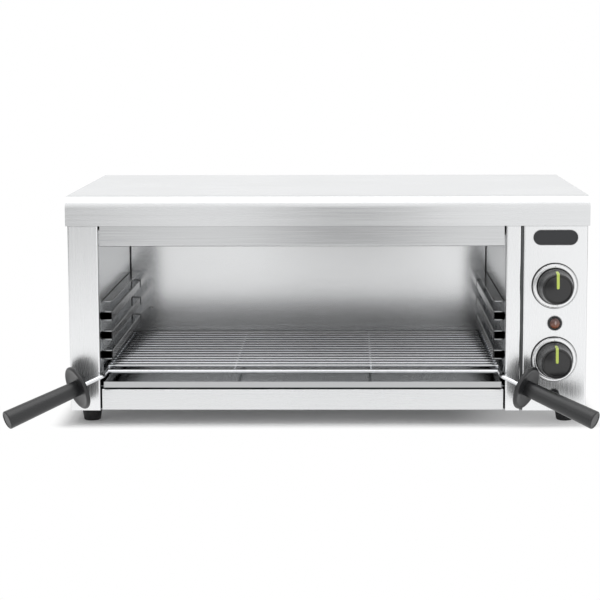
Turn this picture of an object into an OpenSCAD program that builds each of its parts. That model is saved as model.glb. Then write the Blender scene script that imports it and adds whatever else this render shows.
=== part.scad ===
// Table-top cheese melter: a folded steel body round an open grilling cavity, with two racks,
// a chrome grid on two bent handles, a crumb tray and a control compartment on the right.
// Millimetres. x = 0 is the middle of the cavity, y = 0 the middle of the depth with the handles
// and the cable gland, and z = 0 the surface that the feet stand on.

/* [Body] */
// Clear width of the cavity opening between the two posts
opening_w = 475.5; // [420:0.5:520]
// Width of the left post's face
left_post_w = 35.5; // [30:0.5:60]
// Width of the right post's face
right_post_w = 17.7; // [12:0.1:30]
// Gap between the right post and the control panel
panel_gap = 2.3; // [1:0.1:5]
// Width of the control panel
control_w = 75; // [70:0.5:100]
// Depth of the body from the posts' faces to the rear panel's outer face
body_d = 316; // [300:1:380]
// Height of the body from its underside to the top of the cover
body_h = 253.5; // [250:0.5:300]
// Thickness of all the sheet steel
sheet = 1; // [0.8:0.1:1.2]
// Outer radius of the folds
bend_r = 2; // [1.5:0.1:3]
// Width of the side panels' top and rear flanges
flange_w = 15; // [10:1:20]
// Width of the bottom flanges that the feet stand under
foot_flange_w = 34; // [34:1:45]

/* [Cover] */
// Height of the cover's skirts
skirt_h = 35; // [30:1:45]
// Outer radius of the cover's front fold
front_fold_r = 15; // [6:0.5:16]
// Outer radius of the cover's side folds
side_fold_r = 2; // [1.5:0.1:2]
// Gap between the cover's skirts and the body
cover_gap = 1; // [0.5:0.1:1.5]

/* [Front panels] */
// Height of the header's lower edge above the body's underside
header_h = 194.3; // [190:0.1:200]
// How far the header lies behind the posts' faces
header_recess = 1; // [0.5:0.1:3]
// Gap between each end of the header and the posts
header_gap = 1.9; // [0.5:0.1:3]
// Height of the header's wider tabs behind the cover's skirt
header_tab_h = 12; // [8:1:16]
// Height of the posts and the front panels
front_h = 238; // [236:1:240]
// Height of the lower front panel
lower_panel_h = 25.3; // [20:0.1:26]
// Gap between each end of the lower panel and the posts
lower_panel_gap = 2; // [0.5:0.1:3]
// Depth of the front panels' flanges
front_flange_d = 13; // [10:0.5:16]
// Depth of the posts' returns into the cavity
post_return_d = 12; // [8:0.5:16]
// Depth of the control panel's bottom flange, over the front right foot
control_flange_d = 44; // [44:1:50]
// Depth of the control panel's return along the body's right side
control_return_d = 18; // [12:1:24]
// Gap between the cover's skirt and the badge plate
badge_gap = 5.3; // [3:0.1:12]
// Length of the badge plate
badge_l = 51.5; // [40:0.5:60]
// Width of the badge plate
badge_w = 17.3; // [10:0.1:20]
// Thickness of the badge plate's rim
badge_t = 1.2; // [0.8:0.1:2]
// Width of the badge plate's rim
badge_rim = 1; // [0.5:0.1:2]

/* [Cavity] */
// Depth from the posts' faces to the face of the back wall
cavity_d = 298; // [290:1:299]
// Height of the cavity floor's top above the body's underside
floor_h = 27.1; // [26.5:0.1:30]
// Height of the heat reflector's underside above the body's underside
reflector_h = 212; // [208:0.5:215]
// Width of the flanges of the floor, the reflector and the back wall
cavity_flange = 12; // [10:0.5:14]
// Slit between each edge of the back wall and the side walls
back_slit = 1.2; // [0.5:0.1:2]
// Distance from the back wall's left edge to its rivet
back_rivet_x = 25.6; // [15:0.1:60]
// Height of the back wall's rivet above the body's underside
back_rivet_h = 74.7; // [50:0.1:150]

/* [Racks] */
// Depth of a rack's front end behind the posts' faces
rack_front = 28; // [20:1:40]
// Depth of a rack's rear end behind the posts' faces
rack_rear = 292; // [285:1:292]
// Width of a ledge, from the rack's back to its lip
ledge_w = 11.6; // [10:0.1:14]
// Distance between levels
level_pitch = 23.3; // [22:0.1:24]
// Height of a folded ledge, from its underside to its top
ledge_h = 10.9; // [8:0.1:12]
// Height of the lowest folded ledge's underside above the body's underside
first_ledge_h = 56.1; // [56:0.1:60]
// Number of folded ledges on each rack
ledge_count = 3; // [2:1:3]

/* [Grid] */
// Height of the side rods' centres above the body's underside
grid_h = 43.6; // [43:0.1:46]
// Diameter of the side rods
rod_d = 4.5; // [4.2:0.1:5]
// Diameter of the rear rod
rear_rod_d = 4; // [3:0.1:4]
// Diameter of the front bar
bar_d = 5; // [4:0.1:6]
// Depth of the front bar behind the posts' faces
bar_y = 17; // [10:0.5:25]
// Diameter of the wires
wire_d = 3; // [2.5:0.1:4]
// Number of wires
wire_count = 15; // [10:1:15]
// Distance from the front bar to the first wire
first_wire = 19; // [12:0.5:25]
// Distance between wires
wire_pitch = 16.8; // [15:0.1:17]
// Depth of the side rods' rear ends behind the posts' faces
grid_rear = 290; // [280:1:292]
// Distance of the rear rod from the side rods' ends
rear_rod_inset = 3; // [3:0.5:6]
// Distance of each cross bar from the middle
cross_bar_x = 81; // [60:1:120]
// Depth to which crossing wires are welded into each other
weld = 0.5; // [0.3:0.1:0.8]
// Clearance under the side rods, and of the rods in their handles
slide_gap = 0.3; // [0.2:0.05:0.5]

/* [Handles] */
// How far the side rods' bends lie in front of the posts' faces
bend_reach = 12; // [10:0.5:20]
// Extra diameter of the handle rods over the side rods that they are welded to
handle_rod_extra = 0.2; // [0.2:0.1:0.5]
// Radius of the bend's centre line
rod_bend_r = 9; // [6:0.5:12]
// Angle of the handles out from straight forward, seen from above
handle_splay = 55.6; // [40:0.1:60]
// Angle of the handles below the level
handle_droop = 17.2; // [10:0.1:20]
// Distance from the bend to the outer end of the grip
handle_l = 127.5; // [110:0.5:140]
// Distance from the bend to the middle of the guard
guard_at = 35; // [33:0.5:45]
// Diameter of the guard
guard_d = 52; // [44:0.5:54]
// Thickness of the guard's rim
guard_t = 5; // [4:0.1:7]
// Depth of the dish in the guard's face
guard_dish = 1.5; // [0:0.1:2]
// Diameter of the collar behind the guard
collar_d = 12; // [10:0.5:20]
// Length of the collar behind the guard
collar_l = 4; // [2:0.5:6]
// Diameter of the grip at the guard
grip_d = 18.3; // [16:0.1:21]
// Diameter of the grip at its outer end
grip_end_d = 21.6; // [18:0.1:24]
// Radius of the grip's outer edge
grip_edge_r = 1.5; // [0.5:0.1:3]
// Length of the rod inside the grip
rod_in_grip = 60; // [40:1:75]
// Radial clearance of the rods in the guards and grips
rod_clearance = 0.05; // [0.02:0.01:0.1]

/* [Crumb tray] */
// Width of the tray
tray_w = 467.2; // [440:0.2:468]
// Depth of the tray
tray_d = 292; // [280:1:294]
// Height of the tray's walls
tray_h = 6.9; // [6:0.1:7.5]
// Clearance under the tray
tray_gap = 0.3; // [0.2:0.05:0.5]

/* [Knobs] */
// Height of the upper knob's axis above the body's underside
upper_knob_h = 147.4; // [140:0.1:160]
// Height of the lower knob's axis above the body's underside
lower_knob_h = 60.6; // [60:0.1:70]
// Diameter of a bezel
bezel_d = 52.5; // [50:0.5:60]
// Thickness of a bezel
bezel_t = 2; // [1.5:0.1:3]
// Width of the chamfer round a bezel
bezel_chamfer = 0.6; // [0.3:0.1:1]
// Diameter of a knob's skirt
knob_d = 41; // [38:0.5:42]
// Height of a knob's skirt
knob_skirt_h = 3; // [2:0.1:4]
// Diameter of a knob at its front rim
knob_rim_d = 33; // [30:0.5:36]
// Height of a knob
knob_h = 26; // [22:0.5:28]
// Radius of the knob's front rim
knob_rim_r = 1.4; // [0.8:0.1:2]
// Width of the groove round the knob's face
face_groove_w = 1; // [0.6:0.1:1.5]
// Depth of the groove round the knob's face
face_groove_d = 1.2; // [0.6:0.1:2]
// Gap between a knob and its bezel
knob_gap = 0.5; // [0.3:0.1:1]
// Wall of a knob
knob_wall = 2.5; // [2:0.1:3]
// Diameter of a knob's inner hub
knob_hub_d = 12; // [10:0.5:14]
// Width of a pointer
pointer_w = 3.2; // [2.4:0.1:4]
// Depth of a pointer's seat in the knob
pointer_seat = 1; // [0.8:0.1:1.5]
// How far a pointer stands proud of the knob
pointer_proud = 0.4; // [0.2:0.1:0.8]
// How far a pointer stops short of the knob's axis
pointer_stop = 1; // [0:0.5:4]
// Height of a pointer's outer end above the knob's back
pointer_start = 11; // [4:0.5:16]
// Diameter of a shaft
shaft_d = 6; // [5:0.5:6]
// Length of a shaft
shaft_l = 30; // [26:1:32]
// Radial clearance of a shaft in its bush and its knob
shaft_clearance = 0.05; // [0.02:0.01:0.1]

/* [Regulators] */
// Side of an energy regulator's body
regulator_w = 38; // [34:1:42]
// Depth of an energy regulator's body
regulator_d = 42; // [36:1:50]
// Diameter of the threaded neck through the control panel
neck_d = 10; // [9:0.5:12]
// Clearance of necks, screws and bushes in their holes, on the diameter
hole_clearance = 0.2; // [0.1:0.05:0.4]
// Depth of a regulator's bore behind the control panel
bore_d = 11; // [9:0.5:12]

/* [Pilot light and button] */
// Height of the pilot light above the body's underside
pilot_h = 103.8; // [95:0.1:110]
// Diameter of the pilot light's bezel
pilot_d = 16.8; // [14:0.1:20]
// How far the pilot light's bezel stands out
pilot_t = 2.6; // [1.5:0.1:4]
// Width of the chamfer round the pilot light's bezel
pilot_chamfer = 1; // [0.5:0.1:1.5]
// Diameter of the pilot light's lens
lens_d = 12; // [10:0.1:13]
// How far the lens's cylinder stops short of the bezel's face
lens_step = 1; // [0.5:0.1:1.5]
// Height of the lens's crown over the bezel's face
lens_crown = 0.8; // [0.2:0.1:1.2]
// Diameter of the pilot light's barrel
barrel_d = 13.6; // [13.6:0.1:14.5]
// Depth of the pilot light's barrel behind the control panel
barrel_l = 14; // [10:0.5:20]
// Depth of the lamp body behind the barrel
lamp_l = 20; // [15:0.5:25]
// Height of the reset button above the body's underside
button_h = 19.8; // [18:0.1:22]
// Diameter of the reset button
button_d = 8; // [6:0.1:9]
// Diameter of the guide round the reset button
button_guide_d = 10; // [9.5:0.1:11]
// Length of the reset button behind the control panel's face
button_guide_l = 8.5; // [6:0.5:10]
// How far the reset button stands out of its collar
button_out = 2.4; // [2.2:0.1:4]
// Travel of the reset button
button_travel = 2; // [1:0.1:2]
// Diameter of the collar round the reset button
button_collar_d = 12; // [11:0.1:14]
// Thickness of the collar round the reset button
button_collar_t = 1.5; // [1:0.1:3]
// Width of the thermal cut-out's body
cutout_w = 26; // [22:1:30]
// Depth of the thermal cut-out's body
cutout_d = 34; // [30:1:40]
// Diameter of the cut-out's sensor bulb
bulb_d = 5; // [4:0.5:6]
// Length of the cut-out's sensor bulb
bulb_l = 60; // [40:1:80]
// Extra diameter of the balls at the corners of the tube and the loom
corner_d = 0.4; // [0.2:0.1:1]
// Diameter of the sensor's capillary tube
capillary_d = 2; // [1.5:0.1:2.5]

/* [Heating elements] */
// Diameter of an element's sheath
element_d = 6.5; // [6:0.1:8]
// Depth of the elements' axes under the heat reflector
element_drop = 9; // [8:0.5:11]
// Distance between an element's two legs
element_gap = 60; // [50:1:66]
// Depth of the first element's front leg behind the posts' faces
element_y = 70; // [60:1:80]
// Distance between the two elements
element_pitch = 120; // [115:1:125]
// Distance of the elements' bends from the left wall
element_bend_gap = 49; // [40:1:80]
// How far the elements' ends reach past the right wall
element_pin_l = 16; // [12:0.5:20]
// Diameter of the ceramic bushes
bush_d = 11; // [10:0.5:13]
// Diameter of the bushes' flanges
bush_flange_d = 16; // [14:0.5:18]
// Thickness of the bushes' flanges
bush_flange_t = 3; // [2:0.1:4]
// Distance of each element hanger from the middle
hanger_x = 120; // [80:1:150]
// Height of the hangers under the elements' axes
hanger_below = 6; // [5:0.1:6]
// Width of the hangers' flanges, and their reach past the outer legs
hanger_reach = 10; // [6:0.5:12]

/* [Feet and fasteners] */
// Height of the feet
foot_h = 17; // [12:0.5:25]
// Diameter of a foot at its top
foot_top_d = 25; // [20:0.5:26]
// Diameter of a foot at its bottom
foot_d = 20; // [16:0.5:22]
// Radius of a foot's bottom edge
foot_edge_r = 1.5; // [0.5:0.1:3]
// Distance of the feet's axes from the body's sides
foot_inset_x = 21; // [18:0.5:22]
// Distance of the feet's axes from the body's front and rear faces
foot_inset_y = 30; // [24:0.5:31]
// Diameter of the recess in a foot
foot_recess_d = 10; // [9:0.5:11]
// Depth of the recess in a foot
foot_recess_l = 9; // [6:0.5:10]
// Diameter of the screws
screw_d = 3.5; // [3:0.1:4]
// Diameter of the screws' heads
screw_head_d = 6.6; // [6:0.1:8]
// Height of the screws' heads
screw_head_h = 2.4; // [2:0.1:3]
// Length of the screws under their heads
screw_l = 6; // [5:0.5:8]
// Depth of the front screws behind the posts' faces
front_screw_y = 8; // [6:0.5:10]
// Distance between the screws under the lower panel
front_screw_pitch = 199; // [150:1:210]
// Distance of the first one from the lower panel's left end
front_screw_x = 36; // [20:1:60]
// Distance of the left post's screw from the body's left side
post_screw_x = 6.5; // [6:0.1:8]
// Height of the rear panel's lowest screws above the body's underside
rear_screw_h = 30; // [20:1:60]
// Distance of the rear panel's highest screws under the cover's skirt
rear_screw_gap = 13.5; // [8:0.5:30]
// Diameter of the rivets
rivet_d = 3.2; // [2.4:0.1:4]
// Diameter of the rivets' flat faces and of their formed ends
rivet_face_d = 4; // [3.4:0.1:5]
// Diameter of the rivets' heads
rivet_head_d = 5.6; // [5:0.1:7]
// Height of the rivets' heads
rivet_head_h = 1; // [0.6:0.1:1.5]

/* [Rear] */
// Height of the rear panel above the body's underside
rear_h = 248; // [240:1:249]
// Number of slots in a row of rear vents
vent_count = 14; // [8:1:16]
// Length of a vent slot
vent_l = 40; // [30:1:50]
// Width of a vent slot
vent_w = 4; // [3:0.5:6]
// Distance between vent slots
vent_pitch = 14; // [10:0.5:16]
// Height of the vents' middles above the body's underside
vent_h = [95, 165]; // [60:1:180]
// Height of the cable gland's axis above the body's underside
gland_h = 42; // [30:1:60]
// Distance of the cable gland's axis from the body's right side
gland_inset = 40; // [30:1:50]
// Diameter of the gland's bore
gland_bore_d = 9; // [7:0.5:10]
// Diameter of the gland's thread
gland_thread_d = 16; // [14:0.5:18]
// Width of the gland's dome nut
gland_nut_d = 22; // [20:0.5:24]
// Length of the gland behind the rear panel
gland_l = 17; // [12:0.5:24]
// Diameter of the gland's dome
gland_dome_d = 18; // [17:0.5:21]
// Length of the dome nut's six-sided part
gland_hex_l = 7; // [5:0.5:10]
// Length of the dome's tapered end
gland_taper_l = 3.5; // [2:0.5:6]
// Diameter of the dome's rear end
gland_end_d = 13; // [11:0.5:16]
// Length of the gland's inner nut
gland_inner_l = 6; // [4:0.5:8]
// Length of the terminal block
terminal_l = 34; // [28:1:40]
// Distance between the terminal block's screws
terminal_pitch = 10; // [8:0.5:11]
// Gap between the terminal block and the cavity's right wall
terminal_gap = 6; // [4:1:10]
// Depth of the terminal block
terminal_d = 24; // [18:1:28]
// Height of the terminal block
terminal_h = 20; // [16:1:24]
// Depth of the terminal block's middle behind the posts' faces
terminal_y = 255; // [230:1:270]
// Diameter of the wiring loom
loom_d = 6; // [4:0.5:8]
// Diameter of the loom's branches to the controls
branch_d = 5; // [3:0.5:6]
// Diameter of the loom's branches to the elements
element_branch_d = 4; // [3:0.5:5]

/* [Hidden] */
$fn = 48;

// Colours
steel = "#d9dadb";
dark_steel = "#8f9193";
chrome = "#c9ccd0";
black_plastic = "#34353a";
rubber_black = "#1f1f21";
lime = "#d5e67a";
ceramic_white = "#ece7dc";
amber = "#8a5a4a";
brass = "#b59a55";

// Places of the body's faces, from the heights and depths above
body_left = -opening_w / 2 - left_post_w;
body_right = opening_w / 2 + right_post_w + panel_gap + control_w;
body_w = body_right - body_left;
handle_level = cos(handle_droop);
handle_dir = [sin(handle_splay) * handle_level, -cos(handle_splay) * handle_level, -sin(handle_droop)];
bend_angle = acos(-handle_dir.y);
front_reach = bend_reach + handle_l * cos(bend_angle) + grip_end_d / 2 * sin(bend_angle);
front_y = (front_reach - body_d - gland_l) / 2;
rear_y = front_y + body_d;
base_z = foot_h;
top_z = base_z + body_h;
flange_top = top_z - sheet;
panel_top = base_z + front_h;
plate_top = base_z + 2 * sheet;

// Cavity
wall_x = opening_w / 2 + sheet;
wall_end = front_y + cavity_d;
cavity_rear = wall_end + sheet + cavity_flange;
floor_front = front_y + front_flange_d + slide_gap;
reflector_front = front_y + front_flange_d + 2 * header_recess;
floor_top = base_z + floor_h;
reflector_z = base_z + reflector_h;
cavity_flange_z = [floor_top - cavity_flange, reflector_z + cavity_flange];
back_edge = wall_x - back_slit;
back_rivet = [back_rivet_x - back_edge, wall_end, base_z + back_rivet_h];
rivet_ys = [front_y + cavity_d / 5, front_y + cavity_d * 4 / 5];
rivet_zs = [(floor_top + cavity_flange_z[0]) / 2, (reflector_z + cavity_flange_z[1]) / 2];
rivet_hole_d = rivet_d + hole_clearance / 2;

// Grid
rod_x = opening_w / 2 - ledge_w / 2;
rod_z = base_z + grid_h;
grid_seat = rod_z - rod_d / 2 - slide_gap;
wire_z = rod_z + rod_d / 2 + wire_d / 2 - weld;
cross_bar_z = wire_z - wire_d + weld;
bend_trim = rod_bend_r * tan(bend_angle / 2);
bend_y = front_y - bend_reach;
handle_rod_d = rod_d + handle_rod_extra;
grip_start = guard_at + guard_t / 2 - guard_dish;

// Crumb tray
tray_z = floor_top + tray_gap;

// Controls
control_x = body_right - control_w / 2;
control_left = body_right - control_w;
upper_z = base_z + upper_knob_h;
lower_z = base_z + lower_knob_h;
pilot_z = base_z + pilot_h;
button_z = base_z + button_h;
badge_z = top_z - skirt_h - badge_gap - badge_w / 2;
knob_back = front_y - bezel_t - knob_gap;
regulator_neck = bezel_t - knob_gap / 2;
knob_bore = shaft_l - bore_d - bezel_t - knob_gap + slide_gap;

// Elements
element_z = reflector_z - element_drop;
element_bend_x = element_gap / 2 + element_bend_gap - wall_x;
element_end_x = wall_x + sheet + element_pin_l;
element_legs = [for (i = [0, 1], leg = [0, 1])
    front_y + element_y + i * element_pitch + leg * element_gap];

// Feet, screws and rear
foot_xs = [body_left + foot_inset_x, body_right - foot_inset_x];
foot_ys = [front_y + foot_inset_y, rear_y - foot_inset_y];
lower_end = opening_w / 2 - lower_panel_gap;
base_screw_xs = [body_left + post_screw_x,
                 for (i = [0:2]) front_screw_x - lower_end + i * front_screw_pitch];
rear_screw_low = base_z + rear_screw_h;
rear_screw_high = top_z - skirt_h - rear_screw_gap;
rear_screw_zs = [rear_screw_low, (rear_screw_low + rear_screw_high) / 2, rear_screw_high];
rear_screw_xs = [body_left + flange_w / 2 + sheet, body_right - flange_w / 2 - sheet];
cover_screw_xs = [body_left + body_w / 4, body_left + body_w * 3 / 4];
cover_screw_z = top_z - skirt_h * 2 / 3;
screw_hole_d = screw_d + hole_clearance;
gland_at = [body_right - gland_inset, rear_y, base_z + gland_h];
terminal_x = wall_x + sheet + terminal_gap + terminal_l / 2;
loom_y = front_y + terminal_y;

// Box between its lowest and highest corners
module block(low, high) {
    translate(low) cube(high - low);
}

// Turns a shape made on x and y and raised along z, so that x runs back, y up and z to the right
module turned_across(x) {
    translate([x, 0, 0]) rotate([90, 0, 90]) children();
}

// Turns a shape made on x and y and raised along z, so that y runs up and z to the front from y
module turned_forward(y) {
    translate([0, y, 0]) rotate([90, 0, 0]) children();
}

// Sheet folded square along a path on x and y, raised along z. It lies to the left of the way
// along the path, and every fold has the outer radius r.
module folded(path, length, r = bend_r) {
    last = len(path) - 1;
    dirs = [for (i = [0:last - 1]) (path[i + 1] - path[i]) / norm(path[i + 1] - path[i])];
    turns = [for (i = [1:last - 1]) cross(dirs[i - 1], dirs[i])];
    trims = [for (i = [0:last]) i == 0 || i == last ? 0 : turns[i - 1] > 0 ? r : r - sheet];
    for (i = [0:last - 1]) {
        left = [-dirs[i].y, dirs[i].x] * sheet;
        start = path[i] + dirs[i] * trims[i];
        end = path[i + 1] - dirs[i] * trims[i + 1];
        translate([min(start.x, end.x, start.x + left.x), min(start.y, end.y, start.y + left.y), 0])
            cube([abs(end.x - start.x + left.x), abs(end.y - start.y + left.y), length]);
    }
    for (i = [1:last - 1]) {
        way = atan2(dirs[i - 1].y, dirs[i - 1].x);
        side = turns[i - 1] > 0 ? 1 : -1;
        left = [-dirs[i - 1].y, dirs[i - 1].x];
        centre = path[i] + (side * left - dirs[i - 1]) * trims[i];
        translate([centre.x, centre.y, 0]) rotate([0, 0, side > 0 ? way - 90 : way])
            rotate_extrude(angle = 90) translate([r - sheet, 0]) square([sheet, length]);
    }
}

// Pan head screw with its head's seat at the origin and its shank along +z
module screw(length = screw_l) {
    cylinder(d = screw_d, h = length);
    intersection() {
        translate([0, 0, -screw_head_h]) cylinder(d = screw_head_d, h = screw_head_h);
        translate([0, 0, screw_head_d - screw_head_h]) sphere(r = screw_head_d);
    }
}

// Blind rivet through two sheets with its head's seat at the origin and its shank along +z
module rivet(grip = 2 * sheet) {
    translate([0, 0, -rivet_head_h]) cylinder(d1 = rivet_face_d, d2 = rivet_head_d, h = rivet_head_h);
    cylinder(d = rivet_d, h = grip);
    translate([0, 0, grip]) cylinder(d = rivet_face_d, h = rivet_head_h);
}

// Places a child at each of the four feet
module at_feet() {
    for (x = foot_xs, y = foot_ys) translate([x, y, 0]) children();
}

// Holes for the rivets in both flanges of one cavity wall, along x through x = 0
module rivet_holes() {
    for (y = rivet_ys, z = rivet_zs)
        translate([-4 * sheet, y, z]) rotate([0, 90, 0]) cylinder(d = rivet_hole_d, h = 8 * sheet);
}

// Side outline of the cover on y and z, as a solid; out is how far it lies outside the sheet's inside
module cover_outline(out) {
    front = front_y - cover_gap - out;
    r = front_fold_r - sheet + out;
    top = flange_top + out;
    bottom = top_z - skirt_h - (out > 0 ? 0 : 1);
    translate([front, bottom]) square([r, top - r - bottom]);
    translate([front + r, bottom]) square([rear_y + out - front - r, top - bottom]);
    translate([front + r, top - r]) circle(r);
}

// End outline of the cover on x and z, as a solid
module cover_end(out) {
    left = body_left - cover_gap - out;
    right = body_right + cover_gap + out;
    r = side_fold_r - sheet + out;
    top = flange_top + out;
    bottom = top_z - skirt_h - 2;
    translate([left, bottom]) square([right - left, top - r - bottom]);
    translate([left + r, bottom]) square([right - left - 2 * r, top - bottom]);
    for (x = [left + r, right - r]) translate([x, top - r]) circle(r);
}

module cover_solid(out) {
    intersection() {
        turned_across(body_left - cover_gap - out)
            linear_extrude(body_w + 2 * (cover_gap + out)) cover_outline(out);
        turned_forward(rear_y + out + 1) linear_extrude(body_d + cover_gap + 2 * out + 2) cover_end(out);
    }
}

module top_cover() {
    color(steel) difference() {
        cover_solid(sheet);
        cover_solid(0);
        for (x = cover_screw_xs)
            translate([x, rear_y - sheet, cover_screw_z]) rotate([-90, 0, 0])
                cylinder(d = screw_hole_d, h = 4 * sheet);
    }
}

// Left side, folded round the front into the left post
module left_side_panel() {
    rear = rear_y - sheet;
    path = [[-opening_w / 2, front_y + post_return_d], [-opening_w / 2, front_y], [body_left, front_y],
            [body_left, rear], [body_left + flange_w, rear]];
    color(steel) difference() {
        union() {
            mirror([0, 1, 0]) translate([0, 0, base_z])
                folded([for (p = path) [p.x, -p.y]], front_h);
            block([body_left, front_y + front_fold_r, panel_top - sheet],
                  [body_left + sheet, rear - bend_r, flange_top]);
            block([body_left, front_y + front_fold_r, flange_top - sheet],
                  [body_left + flange_w, rear - bend_r, flange_top]);
            block([body_left + sheet / 2, front_y + sheet / 2, base_z],
                  [body_left + foot_flange_w, rear - sheet / 2, base_z + sheet]);
        }
        // Room for the base plate behind the post's face and over the bottom flange
        block([body_left + sheet, front_y + sheet, base_z + sheet],
              [-opening_w / 2 + sheet, rear_y, plate_top]);
        for (y = foot_ys)
            translate([foot_xs[0], y, base_z - sheet]) cylinder(d = screw_hole_d, h = 3 * sheet);
        translate([base_screw_xs[0], front_y + front_screw_y, base_z - sheet])
            cylinder(d = screw_hole_d, h = 3 * sheet);
        rear_screw_holes();
    }
}

// Right side behind the control panel's return, with a tab inside that return
module right_side_panel() {
    rear = rear_y - sheet;
    start = front_y + control_return_d;
    color(steel) difference() {
        union() {
            translate([0, 0, base_z])
                folded([[body_right, start], [body_right, rear], [body_right - flange_w, rear]], front_h);
            block([body_right - 2 * sheet, front_y + front_fold_r, plate_top],
                  [body_right - sheet, start + control_return_d, panel_top]);
            block([body_right - sheet, start, panel_top - sheet],
                  [body_right, rear - bend_r, flange_top]);
            block([body_right - flange_w, start, flange_top - sheet],
                  [body_right, rear - bend_r, flange_top]);
            block([body_right - foot_flange_w, front_y + control_flange_d, base_z],
                  [body_right - sheet / 2, rear - sheet / 2, base_z + sheet]);
        }
        block([body_right - foot_flange_w, front_y, base_z + sheet],
              [body_right - sheet, rear_y, plate_top]);
        translate([foot_xs[1], foot_ys[1], base_z - sheet]) cylinder(d = screw_hole_d, h = 3 * sheet);
        rear_screw_holes();
    }
}

// Holes for the rear panel's screws
module rear_screw_holes() {
    for (x = rear_screw_xs, z = rear_screw_zs)
        translate([x, rear_y - 3 * sheet, z]) rotate([-90, 0, 0])
            cylinder(d = screw_hole_d, h = 6 * sheet);
}

module rear_panel() {
    vents_w = (vent_count - 1) * vent_pitch;
    color(steel) difference() {
        block([body_left, rear_y - sheet, base_z], [body_right, rear_y, base_z + rear_h]);
        rear_screw_holes();
        for (x = cover_screw_xs)
            translate([x, rear_y - 2 * sheet, cover_screw_z]) rotate([-90, 0, 0])
                cylinder(d = screw_hole_d, h = 4 * sheet);
        translate([gland_at.x, rear_y - 2 * sheet, gland_at.z]) rotate([-90, 0, 0])
            cylinder(d = gland_thread_d + hole_clearance, h = 4 * sheet);
        for (h = vent_h, i = [0:vent_count - 1])
            translate([i * vent_pitch - vents_w / 2, rear_y + sheet, base_z + h]) rotate([90, 0, 0])
                linear_extrude(3 * sheet) {
                    square([vent_w, vent_l - vent_w], center = true);
                    for (end = [-1, 1]) translate([0, end * (vent_l - vent_w) / 2]) circle(d = vent_w);
                }
    }
}

module base_plate() {
    color(dark_steel) difference() {
        block([body_left + sheet, front_y + bend_r, base_z + sheet],
              [body_right - sheet, rear_y - 2 * sheet, plate_top]);
        at_feet() translate([0, 0, base_z]) cylinder(d = screw_hole_d, h = 3 * sheet);
        for (x = base_screw_xs)
            translate([x, front_y + front_screw_y, base_z]) cylinder(d = screw_hole_d, h = 3 * sheet);
    }
}

// Header over the opening, with wider tabs behind the cover's skirt that meet the posts' returns
module header_panel() {
    face = front_y + header_recess;
    end = opening_w / 2 - header_gap;
    z = base_z + header_h;
    color(steel) {
        turned_across(-end)
            folded([[face + front_flange_d, panel_top], [face, panel_top], [face, z],
                    [face + front_flange_d, z]], 2 * end);
        for (side = [-1, 1])
            block([min(side * end, side * opening_w / 2), face, panel_top - bend_r - header_tab_h],
                  [max(side * end, side * opening_w / 2), face + sheet, panel_top - bend_r]);
    }
}

module lower_front_panel() {
    z = base_z + lower_panel_h;
    color(steel) difference() {
        turned_across(-lower_end)
            folded([[front_y + front_flange_d, z], [front_y, z], [front_y, base_z],
                    [front_y + front_flange_d, base_z]], 2 * lower_end);
        for (i = [1:3])
            translate([base_screw_xs[i], front_y + front_screw_y, base_z - sheet])
                cylinder(d = screw_hole_d, h = 3 * sheet);
    }
}

module right_front_post() {
    left = opening_w / 2;
    right = left + right_post_w;
    color(steel) difference() {
        translate([0, 0, base_z])
            folded([[left, front_y + post_return_d], [left, front_y], [right, front_y],
                    [right, front_y + front_flange_d]], front_h);
        block([left - 1, front_y + sheet, base_z - 1], [right + 1, rear_y, plate_top]);
    }
}

module control_panel() {
    holes = [[upper_z, neck_d], [lower_z, neck_d], [pilot_z, barrel_d], [button_z, button_guide_d]];
    color(steel) difference() {
        union() {
            translate([0, 0, base_z])
                folded([[control_left, front_y + front_flange_d], [control_left, front_y],
                        [body_right, front_y], [body_right, front_y + control_return_d]], front_h);
            block([control_left + sheet / 2, front_y + sheet / 2, base_z],
                  [body_right - sheet / 2, front_y + control_return_d, base_z + sheet]);
            block([control_left + sheet / 2, front_y + control_return_d, base_z],
                  [body_right - sheet, front_y + control_flange_d, base_z + sheet]);
        }
        block([control_left, front_y + sheet, base_z + sheet], [body_right - sheet, rear_y, plate_top]);
        translate([foot_xs[1], foot_ys[0], base_z - sheet]) cylinder(d = screw_hole_d, h = 3 * sheet);
        for (hole = holes)
            translate([control_x, front_y + 2 * sheet, hole[0]]) rotate([90, 0, 0])
                cylinder(d = hole[1] + hole_clearance, h = 4 * sheet);
    }
}

// One side wall of the cavity, drawn for the right
module cavity_wall() {
    difference() {
        block([wall_x, front_y + bend_r, plate_top], [wall_x + sheet, wall_end, cavity_flange_z[1]]);
        translate([wall_x, 0, 0]) rivet_holes();
    }
}

module cavity_left_wall() {
    color(steel) mirror([1, 0, 0]) cavity_wall();
}

module cavity_right_wall() {
    color(steel) difference() {
        cavity_wall();
        for (y = element_legs)
            translate([wall_x - sheet, y, element_z]) rotate([0, 90, 0])
                cylinder(d = bush_d + hole_clearance, h = 3 * sheet);
    }
}

// Back wall with top and bottom flanges, between the floor and the reflector
module cavity_back_wall() {
    color(steel) difference() {
        turned_across(-back_edge)
            folded([[cavity_rear, reflector_z], [wall_end, reflector_z], [wall_end, floor_top],
                    [cavity_rear, floor_top]], 2 * back_edge);
        translate(back_rivet) rotate([-90, 0, 0])
            translate([0, 0, -sheet]) cylinder(d = rivet_hole_d, h = 3 * sheet);
    }
}

// Floor, with side flanges turned down along the side walls
module cavity_floor() {
    color(dark_steel) difference() {
        turned_forward(cavity_rear)
            folded([[wall_x, cavity_flange_z[0]], [wall_x, floor_top], [-wall_x, floor_top],
                    [-wall_x, cavity_flange_z[0]]], cavity_rear - floor_front);
        for (side = [-1, 1]) translate([side * wall_x, 0, 0]) rivet_holes();
    }
}

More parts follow.
